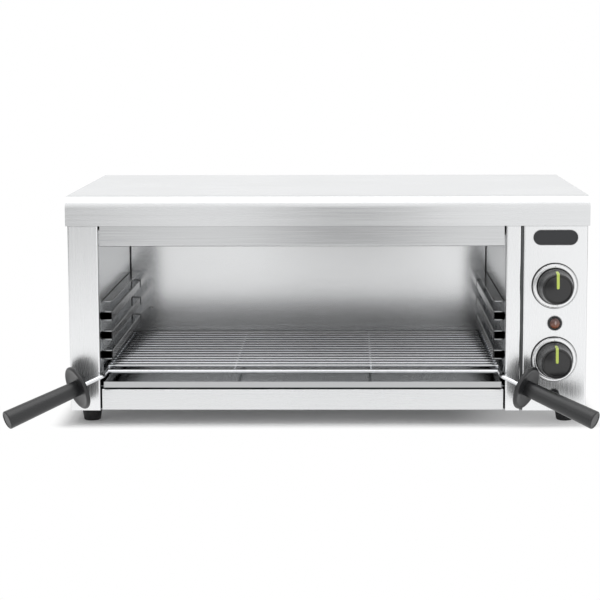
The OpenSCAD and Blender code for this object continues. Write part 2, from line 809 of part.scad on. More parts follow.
// Reflector over the elements, with side flanges turned up along the side walls
module heat_reflector() {
    color(dark_steel) difference() {
        turned_forward(cavity_rear)
            folded([[-wall_x, cavity_flange_z[1]], [-wall_x, reflector_z], [wall_x, reflector_z],
                    [wall_x, cavity_flange_z[1]]], cavity_rear - reflector_front);
        for (side = [-1, 1]) translate([side * wall_x, 0, 0]) rivet_holes();
    }
}

// Right rack: one sheet folded into ledges, with a plain flange at the bottom for the grid
module right_rack() {
    back = opening_w / 2;
    lip = back - ledge_w;
    ledges = [for (i = [ledge_count - 1:-1:0]) base_z + first_ledge_h + i * level_pitch];
    top = base_z + first_ledge_h + ledge_count * level_pitch;
    path = [[lip, top], [back + sheet, top],
            for (z = ledges) each [[back + sheet, z + ledge_h - sheet], [lip + sheet, z + ledge_h - sheet],
                                   [lip + sheet, z + sheet], [back + sheet, z + sheet]],
            [back + sheet, grid_seat - sheet], [lip, grid_seat - sheet]];
    color(dark_steel) turned_forward(front_y + rack_rear)
        mirror([1, 0, 0]) folded([for (p = path) [-p.x, p.y]], rack_rear - rack_front, r = sheet * 1.5);
}

module left_rack() {
    mirror([1, 0, 0]) right_rack();
}

// Cylinder between two points
module rod(from, to, d) {
    way = to - from;
    translate(from) rotate([0, acos(way.z / norm(way)), atan2(way.y, way.x)])
        cylinder(d = d, h = norm(way));
}

// Places a child on a handle's axis: its origin at the bend, its +z along the handle
module on_handle(side) {
    translate([side * rod_x, bend_y, rod_z])
        rotate([0, acos(handle_dir.z), atan2(handle_dir.y, side * handle_dir.x)]) children();
}

// Side rod, bend and handle rod of one side. The bend turns from x to y about its centre, with x
// away from the handle and y to the front.
module side_rod(side) {
    bend_start = bend_y + bend_trim;
    into = [side * handle_dir.x, 0, handle_dir.z] / norm([handle_dir.x, 0, handle_dir.z]);
    centre = [side * rod_x, bend_start, rod_z] + rod_bend_r * into;
    axis = cross(-into, [0, -1, 0]);
    multmatrix([[-into.x, 0, axis.x, centre.x], [0, -1, axis.y, centre.y],
                [-into.z, 0, axis.z, centre.z]]) {
        translate([rod_bend_r, 0, 0]) rotate([90, 0, 0])
            cylinder(d = rod_d, h = front_y + grid_rear - bend_start);
        rotate_extrude(angle = bend_angle)
            translate([rod_bend_r, 0]) rotate([0, 0, 90]) circle(d = rod_d);
        rotate([0, 0, bend_angle]) translate([rod_bend_r, -weld, 0]) rotate([-90, 0, 0])
            cylinder(d = handle_rod_d, h = weld + grip_start + rod_in_grip - bend_trim);
    }
}

module grill_grid() {
    bar = front_y + bar_y;
    rear = front_y + grid_rear - rear_rod_inset;
    color(chrome) {
        for (side = [-1, 1]) side_rod(side);
        rod([-rod_x, bar, rod_z], [rod_x, bar, rod_z], bar_d);
        rod([-rod_x, rear, rod_z], [rod_x, rear, rod_z], rear_rod_d);
        for (i = [0:wire_count - 1])
            rod([-rod_x - 1, bar + first_wire + i * wire_pitch, wire_z],
                [rod_x + 1, bar + first_wire + i * wire_pitch, wire_z], wire_d);
        for (x = [-cross_bar_x, cross_bar_x])
            rod([x, bar, cross_bar_z], [x, rear, cross_bar_z], wire_d);
    }
}

// Dished disc that keeps the hand off the body, with a collar towards the bend
module hand_guard(side) {
    rim = guard_t / 2;
    color(black_plastic) on_handle(side) translate([0, 0, guard_at]) difference() {
        rotate_extrude() polygon([
            [0, -rim - collar_l], [collar_d / 2, -rim - collar_l], [collar_d / 2, -rim],
            for (a = [-90:15:90]) [guard_d / 2 - rim * (1 - cos(a)), rim * sin(a)],
            [guard_d / 2 - guard_t, rim], [grip_d / 2 + guard_t / 2, rim - guard_dish],
            [0, rim - guard_dish]]);
        translate([0, 0, -guard_t - collar_l])
            cylinder(d = handle_rod_d + 2 * rod_clearance, h = 2 * guard_t + collar_l);
    }
}

module left_hand_guard() {
    hand_guard(-1);
}

module right_hand_guard() {
    hand_guard(1);
}

// Tapered grip from the guard to the handle's end, with a blind bore for the rod
module grip(side) {
    end = grip_end_d / 2;
    color(black_plastic) on_handle(side) difference() {
        rotate_extrude() polygon([
            [0, grip_start], [grip_d / 2, grip_start],
            for (a = [0:15:90]) [end - grip_edge_r * (1 - cos(a)), handle_l - grip_edge_r * (1 - sin(a))],
            [0, handle_l]]);
        translate([0, 0, grip_start - 1])
            cylinder(d = handle_rod_d + 2 * rod_clearance, h = rod_in_grip + slide_gap + 1);
    }
}

module left_grip() {
    grip(-1);
}

module right_grip() {
    grip(1);
}

module crumb_tray() {
    color(steel) difference() {
        block([-tray_w / 2, front_y, tray_z], [tray_w / 2, front_y + tray_d, tray_z + tray_h]);
        block([sheet - tray_w / 2, front_y + sheet, tray_z + sheet],
              [tray_w / 2 - sheet, front_y + tray_d - sheet, tray_z + tray_h + 1]);
    }
}

// Hairpin element: two legs through the right wall and a half turn at the left
module heating_element(first_leg) {
    mid = first_leg + element_gap / 2;
    color(dark_steel) {
        for (y = [first_leg, first_leg + element_gap])
            rod([element_bend_x, y, element_z], [element_end_x, y, element_z], element_d);
        translate([element_bend_x, mid, element_z]) rotate([0, 0, 90])
            rotate_extrude(angle = 180)
                translate([element_gap / 2, 0]) rotate([0, 0, 90]) circle(d = element_d);
    }
}

module heating_element_front() {
    heating_element(element_legs[0]);
}

module heating_element_rear() {
    heating_element(element_legs[2]);
}

module element_bushes() {
    color(ceramic_white) for (y = element_legs)
        translate([wall_x - sheet, y, element_z]) rotate([0, 90, 0]) difference() {
            union() {
                cylinder(d = bush_d, h = 2 * sheet + bush_flange_t);
                translate([0, 0, 2 * sheet]) cylinder(d = bush_flange_d, h = bush_flange_t);
            }
            translate([0, 0, -1])
                cylinder(d = element_d + hole_clearance, h = 2 * sheet + bush_flange_t + 2);
        }
}

// Two plates that hang from the reflector and carry the elements' legs
module element_hangers() {
    color(dark_steel) for (x = [-hanger_x, hanger_x]) difference() {
        turned_forward(element_legs[3] + hanger_reach)
            folded([[x, element_z - hanger_below], [x, reflector_z], [x - hanger_reach, reflector_z]],
                   element_legs[3] - element_legs[0] + 2 * hanger_reach);
        for (y = element_legs)
            translate([x - 2 * sheet, y, element_z]) rotate([0, 90, 0])
                cylinder(d = element_d + hole_clearance, h = 4 * sheet);
    }
}

// Turned ring under a knob
module bezel(z) {
    hole_r = (neck_d + hole_clearance) / 2;
    r = bezel_d / 2;
    color(chrome) translate([control_x, front_y, z]) rotate([90, 0, 0]) rotate_extrude()
        polygon([[hole_r, 0], [r, 0], [r, bezel_t - bezel_chamfer], [r - bezel_chamfer, bezel_t],
                 [hole_r, bezel_t]]);
}

module upper_bezel() {
    bezel(upper_z);
}

module lower_bezel() {
    bezel(lower_z);
}

// Half outline of a knob, from its back at 0 to its face
function knob_outline() = [
    [0, 0], [knob_d / 2, 0], [knob_d / 2, knob_skirt_h],
    for (a = [0:15:90]) [knob_rim_d / 2 - knob_rim_r * (1 - cos(a)), knob_h - knob_rim_r * (1 - sin(a))],
    [0, knob_h]];

// Outline of the pointer on radius and height, with its back in the knob and its face proud of it
module pointer_outline() {
    slope = (knob_d - knob_rim_d) / 2 / (knob_h - knob_rim_r - knob_skirt_h);
    start_r = knob_d / 2 - slope * (pointer_start - knob_skirt_h);
    back_r = knob_rim_d / 2 - pointer_seat;
    face_r = knob_rim_d / 2 + pointer_proud;
    back = knob_h - pointer_seat;
    face = knob_h + pointer_proud;
    polygon([[start_r - pointer_seat, pointer_start], [start_r + pointer_proud, pointer_start],
             [face_r, knob_h - knob_rim_r], [face_r - knob_rim_r, face], [pointer_stop, face],
             [pointer_stop, back], [back_r - knob_rim_r, back], [back_r, back - knob_rim_r]]);
}

// Places a child at a knob: its origin on the axis at the knob's back, +z out of the panel, +y up
module on_knob(z) {
    translate([control_x, knob_back, z]) rotate([90, 0, 0]) children();
}

module pointer_bar() {
    rotate([90, 0, 90]) translate([0, 0, -pointer_w / 2]) linear_extrude(pointer_w) pointer_outline();
}

// Hollow moulded knob with a hub for the shaft and a seat for the pointer
module knob(z) {
    rim = knob_rim_d / 2;
    inside = knob_h - knob_wall - pointer_seat;
    color(black_plastic) on_knob(z) difference() {
        rotate_extrude() polygon(knob_outline());
        rotate_extrude() polygon([[knob_hub_d / 2, -1], [knob_d / 2 - knob_wall, -1],
                                  [knob_d / 2 - knob_wall, knob_skirt_h - 1],
                                  [rim - knob_wall - pointer_seat, inside], [knob_hub_d / 2, inside]]);
        translate([0, 0, -1]) cylinder(d = shaft_d + 2 * shaft_clearance, h = knob_bore + 1);
        translate([0, 0, knob_h - face_groove_d]) difference() {
            cylinder(r = rim - 2 * knob_rim_r + face_groove_w, h = face_groove_d + 1);
            translate([0, 0, -1]) cylinder(r = rim - 2 * knob_rim_r, h = face_groove_d + 3);
        }
        pointer_bar();
    }
}

module upper_knob() {
    knob(upper_z);
}

module lower_knob() {
    knob(lower_z);
}

module upper_pointer() {
    color(lime) on_knob(upper_z) pointer_bar();
}

module lower_pointer() {
    color(lime) on_knob(lower_z) pointer_bar();
}

module shaft(z) {
    color(brass) translate([control_x, front_y + bore_d - slide_gap, z]) rotate([90, 0, 0])
        cylinder(d = shaft_d, h = shaft_l);
}

module upper_shaft() {
    shaft(upper_z);
}

module lower_shaft() {
    shaft(lower_z);
}

// Energy regulator behind the panel, with a neck through it and a bore for the shaft
module regulator(z) {
    half = regulator_w / 2;
    color(black_plastic) difference() {
        union() {
            block([control_x - half, front_y + sheet, z - half],
                  [control_x + half, front_y + sheet + regulator_d, z + half]);
            translate([control_x, front_y + 2 * sheet, z]) rotate([90, 0, 0])
                cylinder(d = neck_d, h = 2 * sheet + regulator_neck);
        }
        translate([control_x, front_y + bore_d, z]) rotate([90, 0, 0])
            cylinder(d = shaft_d + 2 * shaft_clearance, h = bore_d + 2 * regulator_neck);
    }
}

module upper_regulator() {
    regulator(upper_z);
}

module lower_regulator() {
    regulator(lower_z);
}

// Ring of the pilot light with its barrel through the panel
module pilot_bezel() {
    color(black_plastic) translate([control_x, front_y, pilot_z]) rotate([90, 0, 0]) difference() {
        union() {
            rotate_extrude() polygon([[0, 0], [pilot_d / 2, 0], [pilot_d / 2, pilot_t - pilot_chamfer],
                                      [pilot_d / 2 - pilot_chamfer, pilot_t], [0, pilot_t]]);
            translate([0, 0, -barrel_l]) cylinder(d = barrel_d, h = barrel_l + 1);
        }
        translate([0, 0, -barrel_l - 1])
            cylinder(d = lens_d + hole_clearance / 2, h = barrel_l + pilot_t + 2);
    }
}

// Lens with a low dome
module pilot_lens() {
    color(amber) translate([control_x, front_y, pilot_z]) rotate([90, 0, 0]) {
        translate([0, 0, -barrel_l / 2]) cylinder(d = lens_d, h = barrel_l / 2 + pilot_t - lens_step);
        intersection() {
            translate([0, 0, pilot_t - lens_step]) cylinder(d = lens_d, h = pilot_t);
            translate([0, 0, pilot_t + lens_crown - lens_d]) sphere(r = lens_d);
        }
    }
}

module pilot_lamp_body() {
    color(ceramic_white) translate([control_x, front_y + barrel_l, pilot_z]) rotate([-90, 0, 0])
        cylinder(d = barrel_d, h = lamp_l);
}

// Stadium on x and y
module stadium(length, width) {
    square([length - width, width], center = true);
    for (end = [-1, 1]) translate([end * (length - width) / 2, 0]) circle(d = width);
}

// Bare plate with a raised rim
module badge_plate() {
    color(black_plastic) translate([control_x, front_y, badge_z]) rotate([90, 0, 0]) difference() {
        linear_extrude(badge_t) stadium(badge_l, badge_w);
        translate([0, 0, badge_t / 2]) linear_extrude(badge_t)
            stadium(badge_l - 2 * badge_rim, badge_w - 2 * badge_rim);
    }
}

module reset_button() {
    color(black_plastic) translate([control_x, front_y + button_guide_l, button_z]) rotate([90, 0, 0])
        cylinder(d = button_d, h = button_guide_l + button_collar_t + button_out);
}

// Cut-out behind the panel, with a collar in front and a guide for its button
module thermal_cutout() {
    half = cutout_w / 2;
    bore_end = button_guide_l + button_travel + slide_gap;
    color(black_plastic) difference() {
        union() {
            block([control_x - half, front_y + sheet, plate_top],
                  [control_x + half, front_y + sheet + cutout_d, button_z + half]);
            translate([control_x, front_y + 2 * sheet, button_z]) rotate([90, 0, 0])
                cylinder(d = button_guide_d, h = 2 * sheet);
            translate([control_x, front_y, button_z]) rotate([90, 0, 0])
                cylinder(d = button_collar_d, h = button_collar_t);
        }
        translate([control_x, front_y + bore_end, button_z]) rotate([90, 0, 0])
            cylinder(d = button_d + 2 * shaft_clearance, h = bore_end + 2 * button_collar_t);
    }
}

// Sensor bulb behind the back wall, its clip and the capillary tube to the cut-out
module cutout_sensor() {
    bulb_y = wall_end + sheet + bulb_d / 2;
    bulb_z = back_rivet.z - rivet_head_d - bulb_d / 2;
    turn_x = wall_x + sheet + bulb_d;
    entry_y = front_y + sheet + cutout_d;
    entry_z = button_z;
    corners = [[back_rivet.x + bulb_l, bulb_y, bulb_z], [turn_x, bulb_y, bulb_z],
               [turn_x, entry_y + bulb_d, bulb_z], [turn_x, entry_y + bulb_d, entry_z],
               [control_x, entry_y + bulb_d, entry_z], [control_x, entry_y, entry_z]];
    color(brass) {
        rod([back_rivet.x, bulb_y, bulb_z], [back_rivet.x + bulb_l, bulb_y, bulb_z], bulb_d);
        for (i = [0:len(corners) - 2]) rod(corners[i], corners[i + 1], capillary_d);
        for (i = [1:len(corners) - 2]) translate(corners[i]) sphere(d = capillary_d + corner_d);
    }
}

module terminal_block() {
    color(ceramic_white) translate([terminal_x, loom_y, plate_top]) difference() {
        translate([-terminal_l / 2, -terminal_d / 2, 0]) cube([terminal_l, terminal_d, terminal_h]);
        for (i = [-1:1])
            translate([i * terminal_pitch, terminal_d / 4, terminal_h / 2])
                cylinder(d = screw_head_d, h = terminal_h);
    }
}

// Loom from the terminal block up to the elements' ends and forward to the controls
module wiring_loom() {
    start_z = plate_top + terminal_h;
    behind = front_y + sheet;
    ends = [[upper_z, behind + regulator_d], [lower_z, behind + regulator_d],
            [pilot_z, front_y + barrel_l + lamp_l]];
    run_y = loom_y - terminal_d / 4;
    color(rubber_black) {
        rod([terminal_x, run_y, start_z], [terminal_x, run_y, element_z], loom_d);
        translate([terminal_x, run_y, element_z]) sphere(d = loom_d + corner_d);
        rod([terminal_x, run_y, element_z], [terminal_x, element_legs[0], element_z], loom_d);
        translate([terminal_x, element_legs[0], element_z]) sphere(d = loom_d + corner_d);
        for (y = element_legs)
            rod([element_end_x, y, element_z], [terminal_x, y, element_z], element_branch_d);
        for (end = ends) {
            rod([terminal_x, run_y, end[0]], [control_x, run_y, end[0]], branch_d);
            translate([control_x, run_y, end[0]]) sphere(d = branch_d + corner_d);
            rod([control_x, run_y, end[0]], [control_x, end[1], end[0]], branch_d);
        }
    }
}

// Cable gland: a domed nut behind the panel, a thread through it and a nut inside
module cable_gland() {
    dome_l = gland_l - gland_taper_l;
    color(black_plastic) translate(gland_at) rotate([-90, 0, 0]) difference() {
        union() {
            cylinder(d = gland_nut_d, h = gland_hex_l, $fn = 6);
            cylinder(d = gland_dome_d, h = dome_l);
            translate([0, 0, dome_l]) cylinder(d1 = gland_dome_d, d2 = gland_end_d, h = gland_taper_l);
            translate([0, 0, -sheet - gland_inner_l]) {
                cylinder(d = gland_thread_d, h = gland_inner_l + 2 * sheet);
                cylinder(d = gland_nut_d, h = gland_inner_l, $fn = 6);
            }
        }
        translate([0, 0, -gland_l]) cylinder(d = gland_bore_d, h = 3 * gland_l);
    }
}

module rubber_feet() {
    color(rubber_black) at_feet() difference() {
        rotate_extrude() polygon([
            [0, 0],
            for (a = [-90:15:0]) [foot_d / 2 - foot_edge_r * (1 - cos(a)), foot_edge_r * (1 + sin(a))],
            [foot_top_d / 2, foot_h], [0, foot_h]]);
        translate([0, 0, -1]) cylinder(d = foot_recess_d, h = foot_recess_l + 1);
        cylinder(d = screw_hole_d, h = foot_h + 1);
    }
}

module foot_screws() {
    color(chrome) at_feet() translate([0, 0, foot_recess_l]) screw(foot_h - foot_recess_l + screw_l);
}

module base_screws() {
    color(chrome) for (x = base_screw_xs) translate([x, front_y + front_screw_y, base_z]) screw();
}

module rear_panel_screws() {
    color(chrome) for (x = rear_screw_xs, z = rear_screw_zs)
        translate([x, rear_y, z]) rotate([90, 0, 0]) screw();
}

module cover_screws() {
    color(chrome) for (x = cover_screw_xs)
        translate([x, rear_y + sheet, cover_screw_z]) rotate([90, 0, 0]) screw();
}

module cavity_rivets() {
    color(steel) {
        translate(back_rivet) rotate([-90, 0, 0]) rivet(sheet);
        for (side = [-1, 1], y = rivet_ys, z = rivet_zs)
            translate([side * (wall_x - sheet), y, z]) rotate([0, side * 90, 0]) rivet();
    }
}

top_cover();
left_side_panel();
right_side_panel();
rear_panel();
base_plate();
header_panel();
lower_front_panel();
right_front_post();
control_panel();
cavity_left_wall();
cavity_right_wall();
cavity_back_wall();
cavity_floor();
heat_reflector();
left_rack();
right_rack();
grill_grid();
left_hand_guard();
right_hand_guard();
left_grip();
right_grip();
crumb_tray();
heating_element_front();
heating_element_rear();
element_bushes();
element_hangers();
upper_bezel();
lower_bezel();
upper_knob();
lower_knob();
upper_pointer();
lower_pointer();
upper_shaft();
lower_shaft();
upper_regulator();
lower_regulator();
pilot_bezel();
pilot_lens();
pilot_lamp_body();
badge_plate();
reset_button();
thermal_cutout();
cutout_sensor();
terminal_block();
wiring_loom();
cable_gland();
rubber_feet();
foot_screws();
base_screws();
rear_panel_screws();
cover_screws();
cavity_rivets();
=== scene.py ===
# Table-top cheese melter: a folded stainless body round an open grilling cavity, with two racks,
# a chromed grid on two black handles, a crumb tray and two knobs. Everything is in metres, in the
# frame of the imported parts; mm() turns millimetres into metres.
import math

import bmesh
import bpy
from mathutils import Matrix, Vector


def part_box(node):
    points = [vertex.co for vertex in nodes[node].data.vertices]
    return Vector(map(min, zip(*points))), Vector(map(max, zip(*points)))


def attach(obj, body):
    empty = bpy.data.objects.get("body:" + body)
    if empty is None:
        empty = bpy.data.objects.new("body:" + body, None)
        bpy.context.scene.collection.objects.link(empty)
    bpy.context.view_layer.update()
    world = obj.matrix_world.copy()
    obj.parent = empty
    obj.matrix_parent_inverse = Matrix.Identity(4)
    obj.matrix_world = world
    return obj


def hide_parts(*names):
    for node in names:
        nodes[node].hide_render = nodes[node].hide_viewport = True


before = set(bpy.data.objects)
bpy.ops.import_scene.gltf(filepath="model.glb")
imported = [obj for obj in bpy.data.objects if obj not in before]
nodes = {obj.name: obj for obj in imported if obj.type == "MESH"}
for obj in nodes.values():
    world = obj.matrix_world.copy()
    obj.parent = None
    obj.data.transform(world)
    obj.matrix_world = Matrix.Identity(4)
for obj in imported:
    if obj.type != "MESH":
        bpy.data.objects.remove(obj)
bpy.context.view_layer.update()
scene = bpy.context.scene


# Camera: a long lens two metres in front of the appliance and a little above it, nearly square to
# the front, as in the photograph.
def mm(length):
    """Millimetres as metres."""
    return length / 1000


# How far the camera looks down, leans and looks to the left, in degrees
look_down, lean, look_left = 6.597, 0.133, 0.634
lens = bpy.data.cameras.new("camera")
lens.lens = 101.363
lens.sensor_width = 36
lens.shift_x = -0.0504
lens.shift_y = -0.1
camera = bpy.data.objects.new("camera", lens)
camera.location = (mm(55.3), mm(-2073.9), mm(444.7))
camera.rotation_euler = [math.radians(a) for a in (90 - look_down, lean, look_left)]
scene.collection.objects.link(camera)
scene.camera = camera
scene.view_settings.view_transform = "Standard"


# Studio: a pale floor under a wide overhead softbox, two side panels of light and a white room.
# The camera sees the room as plain white. What shines sees the same room, dimmer low at its sides,
# and a soft-edged grey flag behind the camera, which give the steel its darker bands and edges.
def linear(hex_colour):
    """The linear colour of an sRGB hex value."""
    parts = [int(hex_colour[i : i + 2], 16) / 255 for i in (1, 3, 5)]
    return [p / 12.92 if p <= 0.04045 else ((p + 0.055) / 1.055) ** 2.4 for p in parts] + [1]


def add(tree, kind, sockets=None, **settings):
    """Adds a node. A socket gets a value, or a link where an output is given, or a node, which
    stands for its first output."""
    made = tree.nodes.new("ShaderNode" + kind)
    for name, value in settings.items():
        setattr(made, name, value)
    for name, value in (sockets or {}).items():
        if isinstance(value, bpy.types.Node):
            value = value.outputs[0]
        if isinstance(value, bpy.types.NodeSocket):
            tree.links.new(value, made.inputs[name])
        else:
            made.inputs[name].default_value = value
    return made


def new_material(name):
    """A material with an empty node tree."""
    material = bpy.data.materials.new(name)
    material.use_nodes = True
    material.node_tree.nodes.clear()
    return material, material.node_tree


def soft_zone(tree, *steps, strength=1.0):
    """The strength times a smooth step for each (value, where it is none, where it is full)."""
    for value, none, full in steps:
        step = add(tree, "MapRange", {
            "Value": value, "From Min": none, "From Max": full}, interpolation_type="SMOOTHSTEP")
        strength = add(tree, "Math", {0: strength, 1: step}, operation="MULTIPLY")
    return strength


def as_mesh(shape, name):
    """Turns a bmesh into a mesh and lets the bmesh go."""
    made = bpy.data.meshes.new(name)
    shape.to_mesh(made)
    shape.free()
    return made


room = bpy.data.worlds.new("white_room")
room.use_nodes = True
tree = room.node_tree
tree.nodes.clear()
toward = add(tree, "SeparateXYZ", {"Vector": add(tree, "TexCoord").outputs["Generated"]}).outputs
# Headings go round the object in radians, from 0 straight in front, with the left negative
forwards = add(tree, "Math", {0: toward["Y"], 1: -1.0}, operation="MULTIPLY")
heading = add(tree, "Math", {0: toward["X"], 1: forwards}, operation="ARCTAN2")
behind, low_down = (toward["Y"], -0.2, 0.3), (toward["Z"], 0.34, 0.06)
skyline = (toward["Z"], 0.16, 0.0)
dim = soft_zone(tree, behind, skyline, strength=0.5)
# Each dim side: its strength, the headings where it begins and is full, and where it is gone
# again and still full
for strength, begins, full, gone, still in (
        (0.8, -0.09, -0.17, -1.4, -1.0), (1.0, -1.15, -1.45, -2.3, -1.9),
        (0.6, 1.25, 1.5, 2.3, 1.9)):
    side_dim = soft_zone(
        tree, low_down, (heading, begins, full), (heading, gone, still), strength=strength)
    dim = add(tree, "Math", {0: dim, 1: side_dim}, operation="MAXIMUM")
wall_tone = add(tree, "MixRGB", {
    "Fac": dim, "Color1": linear("#FFFFFF"), "Color2": linear("#707070")})
path = add(tree, "LightPath").outputs
room_fill = add(tree, "Background", {"Color": linear("#FFFFFF"), "Strength": 0.45})
room_shine = add(tree, "Background", {"Color": wall_tone, "Strength": 1.0})
room_seen = add(tree, "Background", {"Color": linear("#FFFFFF"), "Strength": 1.0})
shine = add(tree, "MixShader", {0: path["Is Glossy Ray"], 1: room_fill, 2: room_shine})
seen = add(tree, "Math", {
    0: path["Is Camera Ray"], 1: path["Is Transmission Ray"]}, operation="MAXIMUM")
room_mix = add(tree, "MixShader", {0: seen, 1: shine, 2: room_seen})
add(tree, "OutputWorld", {"Surface": room_mix})
scene.world = room


def softbox(name, at, target, width, height, power, shines=True):
    """A rectangular area lamp that faces its target, in metres and watts."""
    lamp = bpy.data.lights.new(name, "AREA")
    lamp.shape = "RECTANGLE"
    lamp.size = width
    lamp.size_y = height
    lamp.energy = power
    made = bpy.data.objects.new(name, lamp)
    made.location = at
    made.rotation_euler = (Vector(target) - Vector(at)).to_track_quat("-Z", "Y").to_euler()
    made.visible_glossy = shines
    scene.collection.objects.link(made)


# In a reflection a lamp adds to the white room behind it. The right one isn't reflected, or else
# the top of the cover would burn out to white when it is seen from behind.
softbox("softbox_top", (0.0, -0.3, 2.1), (0, 0, 0), 2.6, 1.8, 18)
softbox("softbox_left", (-2.0, -1.2, 0.9), (0, 0, 0.15), 1.2, 1.4, 3)
softbox("softbox_right", (2.0, -1.3, 0.8), (0, 0, 0.15), 1.8, 1.7, 8, shines=False)

# The flag's half width and its lower and upper edge in metres. It fades out well inside them.
flag_side, flag_low, flag_high = 0.4, -0.7, 0.9
flag_mesh = bpy.data.meshes.new("camera_flag")
flag_mesh.from_pydata([
    (-flag_side, 0, flag_low), (flag_side, 0, flag_low), (flag_side, 0, flag_high),
    (-flag_side, 0, flag_high)], [], [(0, 1, 2, 3)])
flag = bpy.data.objects.new("camera_flag", flag_mesh)
flag.location = (mm(55), mm(-2350), 0)
flag.visible_camera = False
flag.visible_diffuse = False
flag.visible_shadow = False
flag.visible_transmission = False
scene.collection.objects.link(flag)
flag_cloth, tree = new_material("grey_flag")
spot = add(tree, "SeparateXYZ", {"Vector": add(tree, "TexCoord").outputs["Object"]}).outputs
aside = add(tree, "Math", {0: spot["X"]}, operation="ABSOLUTE")
thickness = soft_zone(tree, (aside, 0.3, 0.06), (spot["Z"], 0.85, 0.6))
cloth = add(tree, "Emission", {"Color": linear("#8A8A8A"), "Strength": 1.0})
veil = add(tree, "MixShader", {0: thickness, 1: add(tree, "BsdfTransparent"), 2: cloth})
add(tree, "OutputMaterial", {"Surface": veil})
flag_mesh.materials.append(flag_cloth)

# A round floor, small enough that the upper panels see the room over its edge
floor_shape = bmesh.new()
bmesh.ops.create_circle(floor_shape, cap_ends=True, segments=96, radius=1.6)
floor_mesh = as_mesh(floor_shape, "floor")
floor = bpy.data.objects.new("floor", floor_mesh)
scene.collection.objects.link(floor)
pale_floor, tree = new_material("pale_floor")
matt = add(tree, "BsdfDiffuse", {"Color": linear("#FBFBFB")})
white = add(tree, "Emission", {"Color": linear("#FFFFFF"), "Strength": 1.0})
# The floor's own shade shows only close to the body; further out it turns into the white room
body_low, body_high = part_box("base_plate")
middle, half = (body_low + body_high) / 2, (body_high - body_low) / 2
place = add(tree, "TexCoord").outputs["Object"]
offset = add(tree, "VectorMath", {0: place, 1: (middle.x, middle.y, 0)}, operation="SUBTRACT")
folded = add(tree, "VectorMath", {0: offset}, operation="ABSOLUTE")
beyond = add(tree, "VectorMath", {0: folded, 1: (half.x, half.y, 0)}, operation="SUBTRACT")
outside = add(tree, "VectorMath", {0: beyond, 1: (0, 0, 0)}, operation="MAXIMUM")
distance = add(tree, "VectorMath", {0: outside}, operation="LENGTH").outputs["Value"]
# White is mixed into the shadow under the body, more under the right side: painted light that
# makes the shadow paler there
painted_shadow_lift = add(tree, "MapRange", {
    "Value": add(tree, "SeparateXYZ", {"Vector": place}).outputs["X"], "From Min": mm(170),
    "From Max": mm(260), "To Min": 0.06, "To Max": 0.25}, interpolation_type="SMOOTHSTEP")
shadow_reach = mm(27)
fade = add(tree, "Math", {
    0: painted_shadow_lift, 1: soft_zone(tree, (distance, 0, shadow_reach))}, operation="MAXIMUM")
path = add(tree, "LightPath").outputs
sharp = add(tree, "Math", {
    0: path["Is Camera Ray"], 1: path["Is Glossy Ray"]}, operation="MAXIMUM")
seen = add(tree, "Math", {0: sharp, 1: path["Is Transmission Ray"]}, operation="MAXIMUM")
share = add(tree, "Math", {0: fade, 1: seen}, operation="MULTIPLY")
mixed = add(tree, "MixShader", {0: share, 1: matt, 2: white})
add(tree, "OutputMaterial", {"Surface": mixed})
floor_mesh.materials.append(pale_floor)


# Outer panels: 1 mm 430 stainless sheet, ground with a fine belt before it is folded. The grain
# runs along each panel, so that reflections smear across it and stay soft. Joints and the lines
# under folded edges are painted a little darker than the sheet: painted shade.
def shade(tree, sockets):
    """The principled shader and the material's output."""
    shader = add(tree, "BsdfPrincipled", sockets)
    add(tree, "OutputMaterial", {"Surface": shader})


def painted_crevice_shade(tree, colour, depth, darkest):
    """The colour, darker within some millimetres of an inside corner or of another part."""
    # Painted shade: the darkening stands in for the shade in corners and between parts
    near = add(tree, "AmbientOcclusion", {"Distance": mm(depth)}, samples=6)
    clear = add(tree, "MapRange", {"Value": near.outputs["AO"], "From Min": 0.3, "From Max": 0.8})
    return add(tree, "MixRGB", {"Fac": clear, "Color1": linear(darkest), "Color2": colour})


def sheet_steel(
        name, dark, pale, roughness, grain, across, smear=0.5, depth=3, darkest="#4A4B4C",
        tinted=None, metal=1.0):
    """Stainless sheet with its grain along axis 0, 1 or 2, and reflections smeared across it.
    Tinted gives an axis, where on it the sheet begins to turn to a second colour and has turned,
    and that colour."""
    # Real belt lines are 0.05 mm wide. These are 0.7 mm, so that they show.
    line_width, line_length, wipe_size = mm(0.7), mm(90), mm(142.86)
    material, tree = new_material(name)
    place = add(tree, "TexCoord").outputs["Object"]
    scale = [1 / line_width] * 3
    scale[grain] = 1 / line_length
    lines = add(tree, "Mapping", {"Vector": place, "Scale": scale})
    belt = add(tree, "TexNoise", {"Vector": lines, "Scale": 1, "Detail": 4, "Roughness": 0.65})
    wipe = add(tree, "TexNoise", {
        "Vector": place, "Scale": 1 / wipe_size, "Detail": 2, "Roughness": 0.5})
    sheen = add(tree, "MapRange", {"Value": belt.outputs["Fac"], "From Min": 0.3, "From Max": 0.7})
    light = add(tree, "MixRGB", {"Fac": sheen, "Color1": linear(dark), "Color2": linear(pale)})
    if tinted:
        axis, begins, turned, colour = tinted
        along = add(tree, "SeparateXYZ", {"Vector": place}).outputs[axis]
        light = add(tree, "MixRGB", {
            "Fac": soft_zone(tree, (along, begins, turned)), "Color1": light,
            "Color2": linear(colour)})
    cloud = add(tree, "MapRange", {
        "Value": wipe.outputs["Fac"], "From Min": 0.3, "From Max": 0.7, "To Max": 0.03})
    rough = add(tree, "MapRange", {
        "Value": belt.outputs["Fac"], "From Min": 0.3, "From Max": 0.7,
        "To Min": roughness - 0.03, "To Max": roughness + 0.03})
    total = add(tree, "Math", {0: rough, 1: cloud}, operation="ADD")
    bump = add(tree, "Bump", {
        "Height": belt.outputs["Fac"], "Strength": 0.035, "Distance": mm(0.02)})
    tangent = add(tree, "CombineXYZ", {"X": across[0], "Y": across[1], "Z": across[2]})
    # Depth and darkest give the sheet painted shade near inside corners and other parts
    shade(tree, {
        "Base Color": painted_crevice_shade(tree, light, depth, darkest), "Metallic": metal,
        "Roughness": total, "Anisotropic": smear, "Tangent": tangent, "Normal": bump})
    return material


